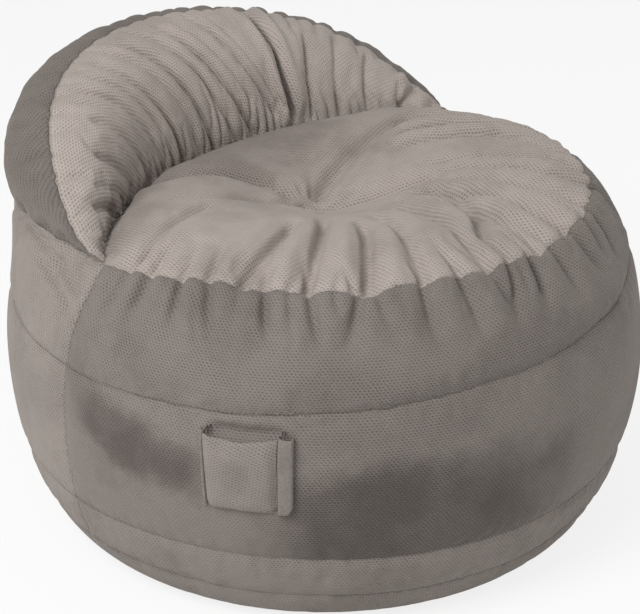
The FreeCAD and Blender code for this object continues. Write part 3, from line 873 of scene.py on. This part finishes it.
def plush(name, strength, row=0.0036, across=0.0055, knit_turn=0.0, seam_shade=0.05, pile_and_shade_patches=False, painted_back_shade=0.0):
    """The dimpled plush. row and across are the knit's spacing, and seam_shade darkens it beside a seam."""
    made = new_material(name)
    flat, place = flat_place(), chair_place()
    wander = noise(flat, 38.0, 1.0) - 0.5
    u, v, _ = axes(flat)
    u, v = u + wander * 0.0022, v + wander * 0.0016
    c, s = math.cos(knit_turn), math.sin(knit_turn)
    u, v = u * c + v * s, v * c - u * s
    # every other row of dimples stands half a dimple along
    line = v / row
    shift = line.maths("FLOOR").maths("MODULO", 2.0).maths("ABSOLUTE") * 0.5
    du = ((u / across + shift).maths("FRACT") - 0.5) * (across / row)
    dv = line.maths("FRACT") - 0.5 + du * 0.20
    from_middle = (du * du * 0.55 + dv * dv * 1.5).maths("SQRT")
    dimple = 1.0 - from_middle.between(0.06, 0.54)
    pile, brushed, patchy = noise(place, 620.0, 2.0, 0.7), noise(place, 9.0, 3.0, 0.55), noise(place, 55.0, 2.0)
    # painted shade: the dimples are darker, as their hollows would be in shade, by an amount that varies at random
    shade = dimple * (patchy.between(0.25, 0.75) * 0.30 + 0.36) + (pile - 0.5) * 0.70
    shade = shade + (brushed.between(0.40, 0.64) - 0.5) * 0.20 + 0.12
    if pile_and_shade_patches:
        # darker along the foot of the side wall, and in a slanting patch beside the pocket: partly pile lying another
        # way, partly painted shade
        x, y, z = axes(place)
        turn = (y * -1.0).maths("ARCTAN2", x * -1.0) * (180 / math.pi) + 90.0
        height = z + (noise(place, 14.0, 4.0, 0.65) - 0.5) * 0.09
        foot = (1.0 - height.between(0.235, 0.300)) * turn.between(123.0, 134.0) * (1.0 - turn.between(160.0, 190.0))
        slant = height - 0.288 + (turn - 93.0) * 0.0022
        patch = (1.0 - (slant * slant).between(0.0, 0.0026)) * turn.between(86.0, 93.0)
        patch = patch * (1.0 - turn.between(110.0, 116.0))
        shade = shade + foot * 0.60 + patch * 0.55
    if painted_back_shade:
        # painted shade: the seat darkens toward the backrest, where its back part lies in shadow and in the valley
        # before the crease
        depth_in = axes(place)[1] + (brushed - 0.5) * 0.12
        shade = shade + depth_in.between(-0.05, 0.23) * painted_back_shade
    from_seam = axes(flat_place("edge"))[0]
    shade = shade + (1.0 - from_seam.between(0.0004, 0.0026)) * seam_shade
    colour = shade.maths("MINIMUM", 1.0).maths("MAXIMUM", 0.0).mix(*shades(strength))
    material(colour, PILE_ROUGHNESS, bumped(pile * 0.35 - dimple, 0.55, 0.0016), **PILE_SHEEN)
    return made


# a panel's strength is partly its pile's direction, partly painted light: the top-lit seat and face brighter, the
# walls darker
seat_plush = plush("seat_plush", 0.90, row=0.0035, across=0.0051, knit_turn=-0.78, seam_shade=0.25, painted_back_shade=0.55)
face_plush = plush("backrest_plush", 0.92, row=0.0040, across=0.0062, seam_shade=0.20)
outer_plush = plush("outer_plush", 0.42, seam_shade=0.15)
wall_plush = plush("wall_plush", 0.49, pile_and_shade_patches=True)
band_plush = plush("band_plush", 0.47)
low_plush = plush("low_plush", 0.54)
back_plush = plush("back_plush", 0.66)
pocket_plush = plush("pocket_plush", 0.59, seam_shade=0.0)


def gusset_pile():
    """The same cloth turned so that its plain, brushed side shows."""
    made = new_material("gusset_plush")
    place = chair_place()
    pile, brushed = noise(place, 340.0, 4.0, 0.75), noise(place, 60.0, 3.0)
    shade = (pile * 1.7 + brushed * 0.8 - 0.75).maths("MAXIMUM", 0.0).maths("MINIMUM", 1.0)
    colour = shade.mix(*shades(0.66, (170, 161, 155), (130, 122, 117)))
    material(colour, PILE_ROUGHNESS, bumped(pile, 0.7, 0.0016), **PILE_SHEEN)
    return made


gusset_plush = gusset_pile()


def woven(name, light, dark, thread, radius=0.0):
    """A plain weave. With a radius its rows run round the chair, and otherwise they follow the cut."""
    made = new_material(name)
    if radius:
        x, y, v = axes(chair_place())
        u = y.maths("ARCTAN2", x) * radius
    else:
        u, v, _ = axes(flat_place())
    turns = math.pi / thread
    over = (u * turns).maths("SINE") * (v * turns).maths("SINE")
    fuzz = noise(chair_place(), 700.0, 2.0)
    colour = (over * 0.22 + 0.5 + (fuzz - 0.5) * 0.4).mix(light, dark)
    material(colour, 0.85, bumped(over * 0.5 + fuzz * 0.4, 0.35, 0.0003), Sheen_Weight=0.1, Specular_IOR_Level=0.2)
    return made


def smooth_part(name, light, dark, roughness, metallic, scale):
    """Nylon or plated metal: worn a little brighter where it is handled."""
    made = new_material(name)
    place = chair_place()
    worn, fine_marks = noise(place, scale, 4.0, 0.6), noise(place, scale * 9, 2.0)
    colour = worn.between(0.35, 0.7).mix(light, dark)
    material(colour, roughness + (worn - 0.5) * 0.25, bumped(fine_marks, 0.12, 0.0002), Metallic=metallic)
    return made


WEAVE = 0.0006
bag_cloth = woven("bag_cloth", srgb(214, 210, 202), srgb(184, 180, 172), WEAVE)
tape_dark = woven("zip_tape_taupe", srgb(112, 104, 99), srgb(82, 75, 71), WEAVE, 0.438)
tape_pale = woven("zip_tape_pale", srgb(206, 202, 194), srgb(176, 172, 164), WEAVE, 0.444)
coil_dark = smooth_part("zip_coil_taupe", srgb(96, 88, 84), srgb(70, 63, 60), 0.42, 0.0, 90.0)
coil_pale = smooth_part("zip_coil_pale", srgb(210, 206, 198), srgb(180, 176, 168), 0.42, 0.0, 90.0)
zip_metal = smooth_part("zip_metal", srgb(176, 174, 170), srgb(132, 130, 126), 0.34, 0.9, 120.0)
thread_finish = smooth_part("thread", srgb(72, 64, 60), srgb(52, 46, 43), 0.70, 0.0, 300.0)


def foam_crumb():
    """Shredded foam: crumbs of a few millimetres in several shades."""
    made = new_material("foam")
    crumb = Socket.node("TexVoronoi", Vector=chair_place(), Scale=120.0)
    colour = crumb.out(1).mix(srgb(226, 214, 176), srgb(188, 200, 206))
    material(colour, 0.9, bumped(1.0 - crumb, 0.8, 0.003))
    return made


foam = foam_crumb()
COVER_CLOTH = 0.0025


def cloth_piece(name, points, faces, maps, finish, thickness=COVER_CLOTH):
    """A finished piece of cloth from its points, its faces, and each face corner's place on named maps."""
    mesh = bpy.data.meshes.new(name)
    mesh.from_pydata(np.asarray(points).tolist(), [], np.asarray(faces).tolist())
    for map_name, values in maps.items():
        mesh.uv_layers.new(name=map_name).data.foreach_set("uv", np.asarray(values, float).ravel())
    mesh.shade_smooth()
    mesh.materials.append(finish)
    piece = shown(name, mesh)
    if thickness:
        thick = piece.modifiers.new("thickness", "SOLIDIFY")
        thick.thickness = thickness
        thick.offset = -1.0
    return piece


finishes = {"side_wall_back": back_plush, "upper_band_back": back_plush, "lower_band_back": back_plush,
            "side_wall_front": wall_plush, "upper_band_front": band_plush, "lower_band_front": low_plush,
            "backrest_face_panel": face_plush, "backrest_outer_panel": outer_plush,
            "seat_panel": seat_plush, "base_panel": low_plush}
for number, panel in enumerate(panels):
    mine = fine_owner == number
    unique, faces = np.unique(fine_faces[mine].ravel(), return_inverse=True)
    piece = cloth_piece("cover_" + panel.name, fine_points[unique], faces.reshape(-1, 4),
                        {"cloth": fine_flat[mine], "edge": fine_near[mine]}, finishes[panel.name])
    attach(piece, "root")
    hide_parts(panel.name)

# ---- the pocket -----------------------------------------------------------------------------
# A patch pocket of the same plush on the side wall: a front cut on the slant, a narrow gusset at each
# side and a floor. It is sewn to the wall all round but at its mouth, whose ends are bar-tacked.
cover_tree = BVHTree.FromPolygons([Vector(p) for p in fine_points], fine_faces.tolist())
POCKET_REAR, POCKET_FORE, POCKET_FRONT_END = 113.9, 129.0, 126.55
POCKET_LOW, POCKET_MOUTH = 0.2125, 0.3195
POCKET_CLOTH, GUSSET_CLOTH = 0.0020, 0.0014
KNIT_SLANT = -0.45


def on_wall(turn, height, out):
    """A point out metres off the finished wall."""
    way = Vector((*direction(turn), 0.0))
    hit = cover_tree.ray_cast(Vector((0.0, 0.0, height)), way)[0]
    return tuple(hit + way * out)


def strip_piece(name, rows, finish=gusset_plush, turn_knit=0.0, thickness=GUSSET_CLOTH):
    """A piece of cloth from rows of (turn, height, out) points, all rows of one length."""
    points = np.array([[on_wall(*point) for point in row] for row in rows])
    count, width = points.shape[:2]
    up, over = (np.cumsum(np.linalg.norm(np.diff(points, axis=axis), axis=2), axis=axis) for axis in (0, 1))
    along, across = np.pad(up, ((1, 0), (0, 0))), np.pad(over, ((0, 0), (1, 0)))
    flat = np.stack([across, along], -1).reshape(-1, 2)
    c, s = math.cos(turn_knit), math.sin(turn_knit)
    flat = flat @ np.array([[c, s], [-s, c]])
    i, j = np.meshgrid(np.arange(count - 1), np.arange(width - 1), indexing="ij")
    a = (i * width + j).ravel()
    faces = np.stack([a, a + 1, a + width + 1, a + width], -1)
    points = points.reshape(-1, 3)
    middle = points[faces].mean(1)
    if (normals_of(points, faces)[faces[:, 0]] * (middle * (1, 1, 0))).sum() < 0:
        faces = faces[:, ::-1]
    maps = {"cloth": flat[faces], "edge": np.ones(faces.shape + (2,))}
    piece = cloth_piece(name, points, faces, maps, finish, thickness)
    smooth = piece.modifiers.new("smooth", "SUBSURF")
    smooth.levels = smooth.render_levels = 1
    smooth.uv_smooth = "NONE"
    piece.modifiers.move(1, 0)
    return piece


def front_out(s, t):
    """How far the front stands off the wall at s across and t up it: it pouts at the mouth."""
    wide = 0.098
    rear_edge, fore_edge = (s * wide / 0.006) ** 2, ((1 - s) * wide / 0.008) ** 2
    out = 0.0075 + 0.0055 * t + 0.0060 * math.sin(math.pi * s ** 0.85) * (0.25 + 0.75 * t)
    out -= (0.0035 + 0.001 * t) * math.exp(-rear_edge) + 0.0050 * math.exp(-fore_edge)
    out -= 0.0022 * math.exp(-(t / 0.05) ** 2)
    # uneven cloth, then the mouth's hem with its line of stitches
    out += 0.0010 * math.sin(5.2 * s + 2.4 * t) + 0.0008 * math.sin(11.0 * s - 5.0 * t + 1.0)
    return out + 0.0012 * ease(t, 0.93, 0.96) - 0.0006 * math.exp(-((t - 0.92) / 0.012) ** 2)


def front_top(s):
    """The mouth's height: it sags in the middle."""
    return POCKET_MOUTH - 0.0042 * math.sin(math.pi * min(1.0, s * 0.90 + 0.02))


pocket_front_rows = []
for t in np.linspace(0.0, 1.0, 44):
    row = []
    for s in np.linspace(0.0, 1.0, 40):
        height = POCKET_LOW + (front_top(s) - POCKET_LOW) * t + 0.0012 * math.sin(3.0 * s) * (1 - t)
        rear = POCKET_REAR + 0.75 + 0.35 * (1 - t)
        row.append((rear + (POCKET_FRONT_END - rear) * s, height, front_out(s, t)))
    pocket_front_rows.append(row)
pocket_pieces = {"pocket_front": strip_piece(
    "pocket_front_cloth", pocket_front_rows, pocket_plush, KNIT_SLANT, POCKET_CLOTH)}

# across each row the rear gusset is a narrow roll, and the front one a flat strip with rounded edges
REAR_SECTION = ((0.0, -0.001), (-0.06, 0.0025), (0.02, 0.0052), (0.20, 0.0064), (0.42, 0.0062), (0.60, 0.0046),
                (0.68, 0.0022))
rear_rows, fore_rows = [], []
for t in np.linspace(0.0, 1.0, 34):
    height = POCKET_LOW + (POCKET_MOUTH + 0.001 - POCKET_LOW) * t
    rear = POCKET_REAR + 0.35 * (1 - t)
    rear_rows.append([(rear + over, height, out) for over, out in REAR_SECTION])
    start, stop = POCKET_FRONT_END, POCKET_FORE - 0.75 * (1 - ease(t, -0.02, 0.10)) + 0.12 * (t - 0.5)
    high = 0.0090 + 0.0022 * t + 0.0006 * math.sin(9.0 * t)
    section = [(start + 0.05, 0.0030), (start + 0.02, 0.0062), (start + 0.12, high - 0.0012)]
    section += [(start + 0.35 + (stop - start - 0.55) * f, high + 0.0007 * math.sin(math.pi * f))
                for f in np.linspace(0, 1, 7)]
    section += [(stop, high - 0.0020), (stop + 0.06, 0.5 * high), (stop + 0.02, -0.001)]
    fore_rows.append([(turn, height, out) for turn, out in section])
pocket_pieces["pocket_gusset_rear"] = strip_piece("pocket_gusset_rear_cloth", rear_rows)
pocket_pieces["pocket_gusset_front"] = strip_piece("pocket_gusset_front_cloth", fore_rows)

floor_rows = []
for f in np.linspace(0.0, 1.0, 7):
    row = []
    for s in np.linspace(0.0, 1.0, 40):
        turn = POCKET_REAR + 1.1 + (POCKET_FORE - 0.9 - POCKET_REAR - 1.1) * s
        # the floor follows the front's foot, then the front gusset's
        on_front = min(s * 1.12, 1.0)
        edge = front_out(on_front, 0.0) if s < 0.86 else 0.0085
        drop = 0.0012 * math.sin(3.0 * on_front) - 0.0008 - 0.0018 * math.sin(math.pi * f)
        row.append((turn, POCKET_LOW + drop, (edge + 0.0004) * (1 - f) - 0.001 * f))
    floor_rows.append(row)
pocket_pieces["pocket_floor"] = strip_piece("pocket_floor_cloth", floor_rows)
for node, piece in pocket_pieces.items():
    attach(piece, "root")
    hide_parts(node)


def tube(path, radius, sides=6):
    """Points and faces of a round thread or wire along a path, with closed ends."""
    path = np.asarray(path, float)
    along = np.gradient(path, axis=0)
    along /= np.linalg.norm(along, axis=1)[:, None]
    side = np.cross(along, (0.31, 0.17, 0.94))
    side /= np.linalg.norm(side, axis=1)[:, None]
    up = np.cross(side, along)
    angle = np.linspace(0, 2 * math.pi, sides, endpoint=False)[None, :, None]
    rings = path[:, None] + radius * (np.cos(angle) * side[:, None] + np.sin(angle) * up[:, None])
    i, j = np.meshgrid(np.arange(len(path) - 1), np.arange(sides), indexing="ij")
    a, b = (i * sides + j).ravel(), (i * sides + (j + 1) % sides).ravel()
    faces = np.stack([a, a + sides, b + sides, b], -1).tolist()
    faces += [list(range(sides)), [len(path) * sides - 1 - k for k in range(sides)]]
    return rings.reshape(-1, 3), faces


def tubes_piece(name, paths, radius, finish, sides=6):
    points, faces, first = [], [], 0
    for path in paths:
        ring_points, ring_faces = tube(path, radius, sides)
        points.append(ring_points)
        faces += [[first + k for k in face] for face in ring_faces]
        first += len(ring_points)
    mesh = bpy.data.meshes.new(name)
    mesh.from_pydata(np.concatenate(points).tolist(), [], faces)
    mesh.shade_smooth()
    mesh.materials.append(finish)
    return shown(name, mesh)


# each end of the mouth has two short close bars of stitches, which run from the pocket up on to the wall
TACK_THREAD = 0.00034
REAR_TACKS = ((114.75, 0.3165, 0.25), (115.35, 0.3180, 0.15))
FORE_TACKS = ((127.45, 0.3200, -0.2), (127.90, 0.3210, -0.15))
tack_paths = []
for bars, lines, out, length in ((REAR_TACKS, 3, 0.0052, 0.0080), (FORE_TACKS, 2, 0.0110, 0.0055)):
    for turn, height, lean in bars:
        for line in range(lines):
            path = []
            for f in np.linspace(0.0, 1.0, 13):
                wobble = 0.07 * (line - 1) + 0.03 * math.sin(9 * math.pi * f)
                lift = 0.0006 + 0.0006 * math.sin(math.pi * f) + 0.0003 * math.sin(24 * math.pi * f)
                off_wall = out * (1 - ease(f, 0.55, 0.85)) + lift
                path.append(on_wall(turn + lean * f + wobble, height + length * f, off_wall))
            tack_paths.append(path)
tacks = tubes_piece("pocket_bar_tack_stitches", tack_paths, TACK_THREAD, thread_finish)
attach(tacks, "root")
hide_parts("pocket_bar_tacks")

# ---- the zips -------------------------------------------------------------------------------
# The cover's zip runs round the back in its lower seam, and the seat bag has one above it. Each is two
# woven tapes, each with a coil of nylon sewn along its edge, metal stops at the ends and a slider.
COIL_PITCH, COIL_WIRE = 0.0017, 0.00042
COIL_OFF_MIDDLE, COIL_HALF_WIDTH, COIL_HALF_DEPTH = 0.0019, 0.00098, 0.00068


def coil_paths(radius, height, side, half_arc):
    """The spiral of a coil that lies side (1 above, -1 below) of the chain's middle."""
    share = (BELLY - height) / BELLY
    lean = math.atan(TUCK / BELLY * share / math.sqrt(1 - share ** 2))
    turns = int(math.radians(2 * half_arc) * radius / COIL_PITCH)
    f = np.linspace(0.0, 1.0, turns * 12 + 1)
    phase = 2 * math.pi * turns * f
    up = side * (COIL_OFF_MIDDLE + COIL_HALF_WIDTH * np.cos(phase))
    out = COIL_HALF_DEPTH * np.sin(phase)
    r = radius + up * math.sin(lean) + out * math.cos(lean)
    z = height + up * math.cos(lean) - out * math.sin(lean)
    x, y = direction(half_arc * (2 * f - 1))
    return np.stack([r * x, r * y, z], -1)


def repaint(node, finish):
    """Gives a piece that is kept from the construction its finish."""
    materials = bpy.data.objects[node].data.materials
    materials.clear()
    materials.append(finish)


BAG_ZIP_HEIGHT = 0.2301
for zip_name, radius, height, half_arc, coil_finish, tape_finish in (
        ("cover_zip", 0.4380, 0.1309, 41.6, coil_dark, tape_dark),
        ("bag_zip", 0.4436, BAG_ZIP_HEIGHT, 37.6, coil_pale, tape_pale)):
    for part, side in (("upper", 1), ("lower", -1)):
        wire = coil_paths(radius, height, side, half_arc)
        spiral = tubes_piece(zip_name + "_spiral_" + part, [wire], COIL_WIRE, coil_finish, 5)
        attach(spiral, "root")
        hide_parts(zip_name + "_coil_" + part)
        repaint(zip_name + "_tape_" + part, tape_finish)
for node in ("cover_zip_stops", "bag_zip_stops", "cover_zip_slider", "bag_zip_slider", "cover_zip_pull"):
    repaint(node, zip_metal)

# ---- the seat bag and its filling -----------------------------------------------------------
# Inside the cover, shredded foam fills a plain woven bag of the drum's shape: a base, a side with the
# bag's zip in it, and a top sewn on inside the cover's seat.
BAG_CLOTH = 0.0012
BAG_ZIP_HALF_ARC, BAG_ZIP_HALF_SLOT = 38.0, 0.0062
BAG_TOP_RADIUS = 0.352
FOAM_INSIDE = 0.004


def grid_piece(name, points, finish, thickness, wrap=True, caps=()):
    """A piece from a grid of points. wrap joins its last column to its first, and caps lists the end rows
    to close."""
    rows, columns = points.shape[:2]
    i, j = np.meshgrid(np.arange(rows - 1), np.arange(columns if wrap else columns - 1), indexing="ij")
    a, b = (i * columns + j).ravel(), (i * columns + (j + 1) % columns).ravel()
    faces = np.stack([a, b, b + columns, a + columns], -1)
    flat_points = points.reshape(-1, 3)
    middle = flat_points.mean(0)
    if (normals_of(flat_points, faces)[faces[:, 0]] * (flat_points[faces[:, 0]] - middle)).sum() < 0:
        faces = faces[:, ::-1]
    square = 0.01 * np.array([(0, 0), (1, 0), (1, 1), (0, 1)])
    uv = 0.01 * np.stack([j.ravel(), i.ravel()], -1)[:, None] + square
    piece = cloth_piece(name, flat_points, faces, {"cloth": uv}, finish, thickness)
    if caps:
        shape = bmesh.new()
        shape.from_mesh(piece.data)
        corners = list(shape.verts)
        for row in caps:
            rim = corners[row % rows * columns:][:columns]
            hub = shape.verts.new(sum((v.co for v in rim), Vector()) / columns)
            for one, two in zip(rim, rim[1:] + rim[:1]):
                shape.faces.new((one, two, hub)).smooth = True
        bmesh.ops.recalc_face_normals(shape, faces=shape.faces)
        shape.to_mesh(piece.data)
        shape.free()
    return piece


def bag_wall(turn, height, extra=0.0):
    """The bag's side: close behind the cover at its zip, and well clear of the cover's folds elsewhere."""
    along_zip = 1 - ease(np.abs(off(turn, 0.0)), 44.0, 60.0)
    by_zip = along_zip * (1 - ease(np.abs(height - BAG_ZIP_HEIGHT), 0.035, 0.09))
    gap = 0.0205 - 0.0120 * by_zip + 0.0150 * ease(height, 0.30, 0.36) + extra
    on_cover = wall_point(turn, height)
    radius = np.hypot(on_cover[..., 0], on_cover[..., 1])
    return placed(turn, radius - gap, height)


BAG_TURNS = np.linspace(0.0, 360.0, 241)[:-1]


def bag_top_grid(extra=0.0):
    """The bag's top, from its rim inwards: it lies under the seat, lower in the middle and behind."""
    share = np.linspace(1.0, 0.04, 26)[:, None]
    x, y = direction(BAG_TURNS)
    grid = seat_point((BAG_TOP_RADIUS - extra) * share * x, (BAG_TOP_RADIUS - extra) * share * y)
    sunk = 0.034 + 0.030 * np.exp(-(share * BAG_TOP_RADIUS / 0.14) ** 2)
    grid[..., 2] = np.minimum(grid[..., 2] - sunk, JUNCTION_HEIGHT) - extra
    grid[..., 2] -= 0.010 * ease(grid[..., 1], 0.05, 0.25)
    return grid


def bag_floor_rows(radii, height):
    return [placed(BAG_TURNS, radius, height) for radius in radii]


def bag_side_rows(low, high, count, extra=0.0):
    return [bag_wall(BAG_TURNS, height, extra) for height in np.linspace(low, high, count)]


def shouldered(rows, rim, count=7):
    """The rows, then a rounded shoulder up to the rim."""
    last = rows[-1]
    angles = 0.5 * math.pi * np.linspace(0, 1, count + 1)[1:]
    return rows + [last + (rim - last) * np.array((1 - math.cos(a), 1 - math.cos(a), math.sin(a))) for a in angles]


base_rows = np.array(bag_floor_rows((0.02, 0.12, 0.22, 0.32), 0.0045) + bag_side_rows(0.010, 0.058, 5))
bag_base = grid_piece("seat_bag_base_cloth", base_rows, bag_cloth, BAG_CLOTH, caps=(0,))
# the side stops at the zip's opening and goes on above it; past the opening's ends the two are sewn
half_slot = BAG_ZIP_HALF_SLOT * ease(BAG_ZIP_HALF_ARC + 1.0 - np.abs(off(BAG_TURNS, 0.0)), 0.0, 1.5)
top_grid, foam_top = bag_top_grid(), bag_top_grid(FOAM_INSIDE)
lower_edge = bag_wall(BAG_TURNS, BAG_ZIP_HEIGHT - half_slot)
upper_edge = bag_wall(BAG_TURNS, BAG_ZIP_HEIGHT + half_slot)
side_low = np.array(bag_side_rows(0.058, 0.205, 14) + [lower_edge])
side_high = np.array(shouldered([upper_edge] + bag_side_rows(0.25, 0.40, 15), top_grid[0]))
bag_side = grid_piece("seat_bag_side_cloth", side_low, bag_cloth, BAG_CLOTH)
bag_side_high = grid_piece("seat_bag_side_top_cloth", side_high, bag_cloth, BAG_CLOTH)
bag_top = grid_piece("seat_bag_top_cloth", top_grid, bag_cloth, BAG_CLOTH, caps=(-1,))
foam_rows = bag_floor_rows((0.02, 0.12, 0.22, 0.31), 0.0075) + bag_side_rows(0.014, 0.395, 30, FOAM_INSIDE)
foam_rows = shouldered(foam_rows, foam_top[0]) + list(foam_top[1:])
seat_foam = grid_piece("seat_filling_foam", np.array(foam_rows), foam, 0, caps=(0, -1))
for piece, node, slot_name in ((bag_base, "seat_bag_base", "bag_cloth"), (bag_side, "seat_bag_side", "bag_cloth"),
                               (bag_top, "seat_bag_top", "bag_cloth"), (seat_foam, "seat_filling", "filling")):
    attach(piece, "root")
    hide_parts(node)
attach(bag_side_high, "root")

# ---- the bolster's bag, its filling and the divider -----------------------------------------
# The bolster has a bag and filling of its own, and a cloth sewn across the cover keeps it up there.
BOLSTER_TURNS = np.linspace(-66.0, 66.0, 67)
BOLSTER_BAG_INSET, BOLSTER_FOAM_INSET = 0.026, 0.031
DIVIDER_HEIGHT, DIVIDER_SAG = 0.4505, 0.002


def bolster_rings(inset):
    """Rings round the bolster's section, each shrunk towards its middle by inset."""
    rings = []
    for turn in BOLSTER_TURNS:
        t = np.linspace(0.0, 1.0, 17)
        turns = np.full(len(t), turn)
        ring = np.concatenate([outer_point(turns, t), face_point(turns, t)[1:]])
        way = placed(turn, np.hypot(ring[:, 0], ring[:, 1]).mean(), ring[:, 2].mean()) - ring
        size = np.linalg.norm(way, axis=1)[:, None]
        rings.append(ring + way * np.minimum(inset / np.maximum(size, 1e-6), 0.72))
    return np.array(rings)


bag_rings = bolster_rings(BOLSTER_BAG_INSET)
bolster_bag = grid_piece("backrest_bag_cloth", bag_rings, bag_cloth, BAG_CLOTH, caps=(0, -1))
bolster_foam = grid_piece("backrest_filling_foam", bolster_rings(BOLSTER_FOAM_INSET), foam, 0, caps=(0, -1))
share = np.linspace(0.0, 1.0, 12)[:, None]
inner, outer = crease_radius(BOLSTER_TURNS)[None] + 0.022, seam_top(BOLSTER_TURNS)[0][None] - 0.028
radius = np.minimum(inner, outer - 0.004) * (1 - share) + outer * share
divider_rows = placed(BOLSTER_TURNS, radius, DIVIDER_HEIGHT - DIVIDER_SAG * np.sin(math.pi * share))
divider = grid_piece("chamber_divider_cloth", divider_rows, bag_cloth, BAG_CLOTH, wrap=False)
for piece, node, slot_name in ((bolster_bag, "backrest_bag", "bag_cloth"),
                               (bolster_foam, "backrest_filling", "filling"),
                               (divider, "chamber_divider", "bag_cloth")):
    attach(piece, "root")
    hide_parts(node)

# ---- where it stands ------------------------------------------------------------------------
# A pale studio: white floor and surroundings, one big soft lamp high on the -X side, and a weaker one
# lower down in front on the +X side.


def aimed(name, data, place, target):
    """A lamp or camera that looks at a target."""
    holder = shown(name, data)
    holder.location = place
    holder.rotation_euler = (target - place).to_track_quat("-Z", "Y").to_euler()
    return holder


def area_lamp(name, place, size, power):
    lamp = bpy.data.lights.new(name, "AREA")
    lamp.shape, lamp.size, lamp.energy = "DISK", size, power
    aimed(name, lamp, Vector(place), Vector((0.0, 0.0, 0.3)))


VIEW_TURN, VIEW_RISE, VIEW_DISTANCE = math.radians(-46.0), math.radians(25.7), 3.0
view_target = Vector((-0.0044, 0.0046, 0.283))
camera_data = bpy.data.cameras.new("camera")
camera_data.lens, camera_data.sensor_width = 116.3, 36.0
away = Vector((
    math.sin(VIEW_TURN) * math.cos(VIEW_RISE), -math.cos(VIEW_TURN) * math.cos(VIEW_RISE), math.sin(VIEW_RISE)))
bpy.context.scene.camera = aimed("camera", camera_data, view_target + VIEW_DISTANCE * away, view_target)
bpy.context.scene.view_settings.view_transform = "Standard"

area_lamp("key", (-2.8, -0.4, 3.0), size=2.0, power=112.0)
area_lamp("fill", (2.6, -2.4, 1.3), size=2.4, power=25.0)

world = bpy.data.worlds.new("studio")
world.use_nodes = True
sky = world.node_tree.nodes["Background"]
sky.inputs[0].default_value, sky.inputs[1].default_value = (1, 1, 1, 1), 0.46
bpy.context.scene.world = world

floor_mesh = bpy.data.meshes.new("floor")
floor_mesh.from_pydata([(-8, -8, 0), (8, -8, 0), (8, 8, 0), (-8, 8, 0)], [], [(0, 1, 2, 3)])
floor = shown("floor", floor_mesh)
floor.location.z = -0.0005
floor_paint = new_material("floor_white")
# it is lit paint, but the camera and reflections see mostly an even white glow
shader = Socket.node("BsdfDiffuse", Color=(0.9, 0.9, 0.9, 1))
glow = Socket.node("Emission", Color=(1, 1, 1, 1), Strength=1.0)
seen = Socket.node("LightPath", out=0).maths("MAXIMUM", Socket.node("LightPath", out=3))
mixed = Socket.node("MixShader", i0=seen * 0.82, i1=shader, i2=glow)
Socket.tree.links.new(mixed.link, Socket.tree.nodes.new("ShaderNodeOutputMaterial").inputs[0])
floor_mesh.materials.append(floor_paint)
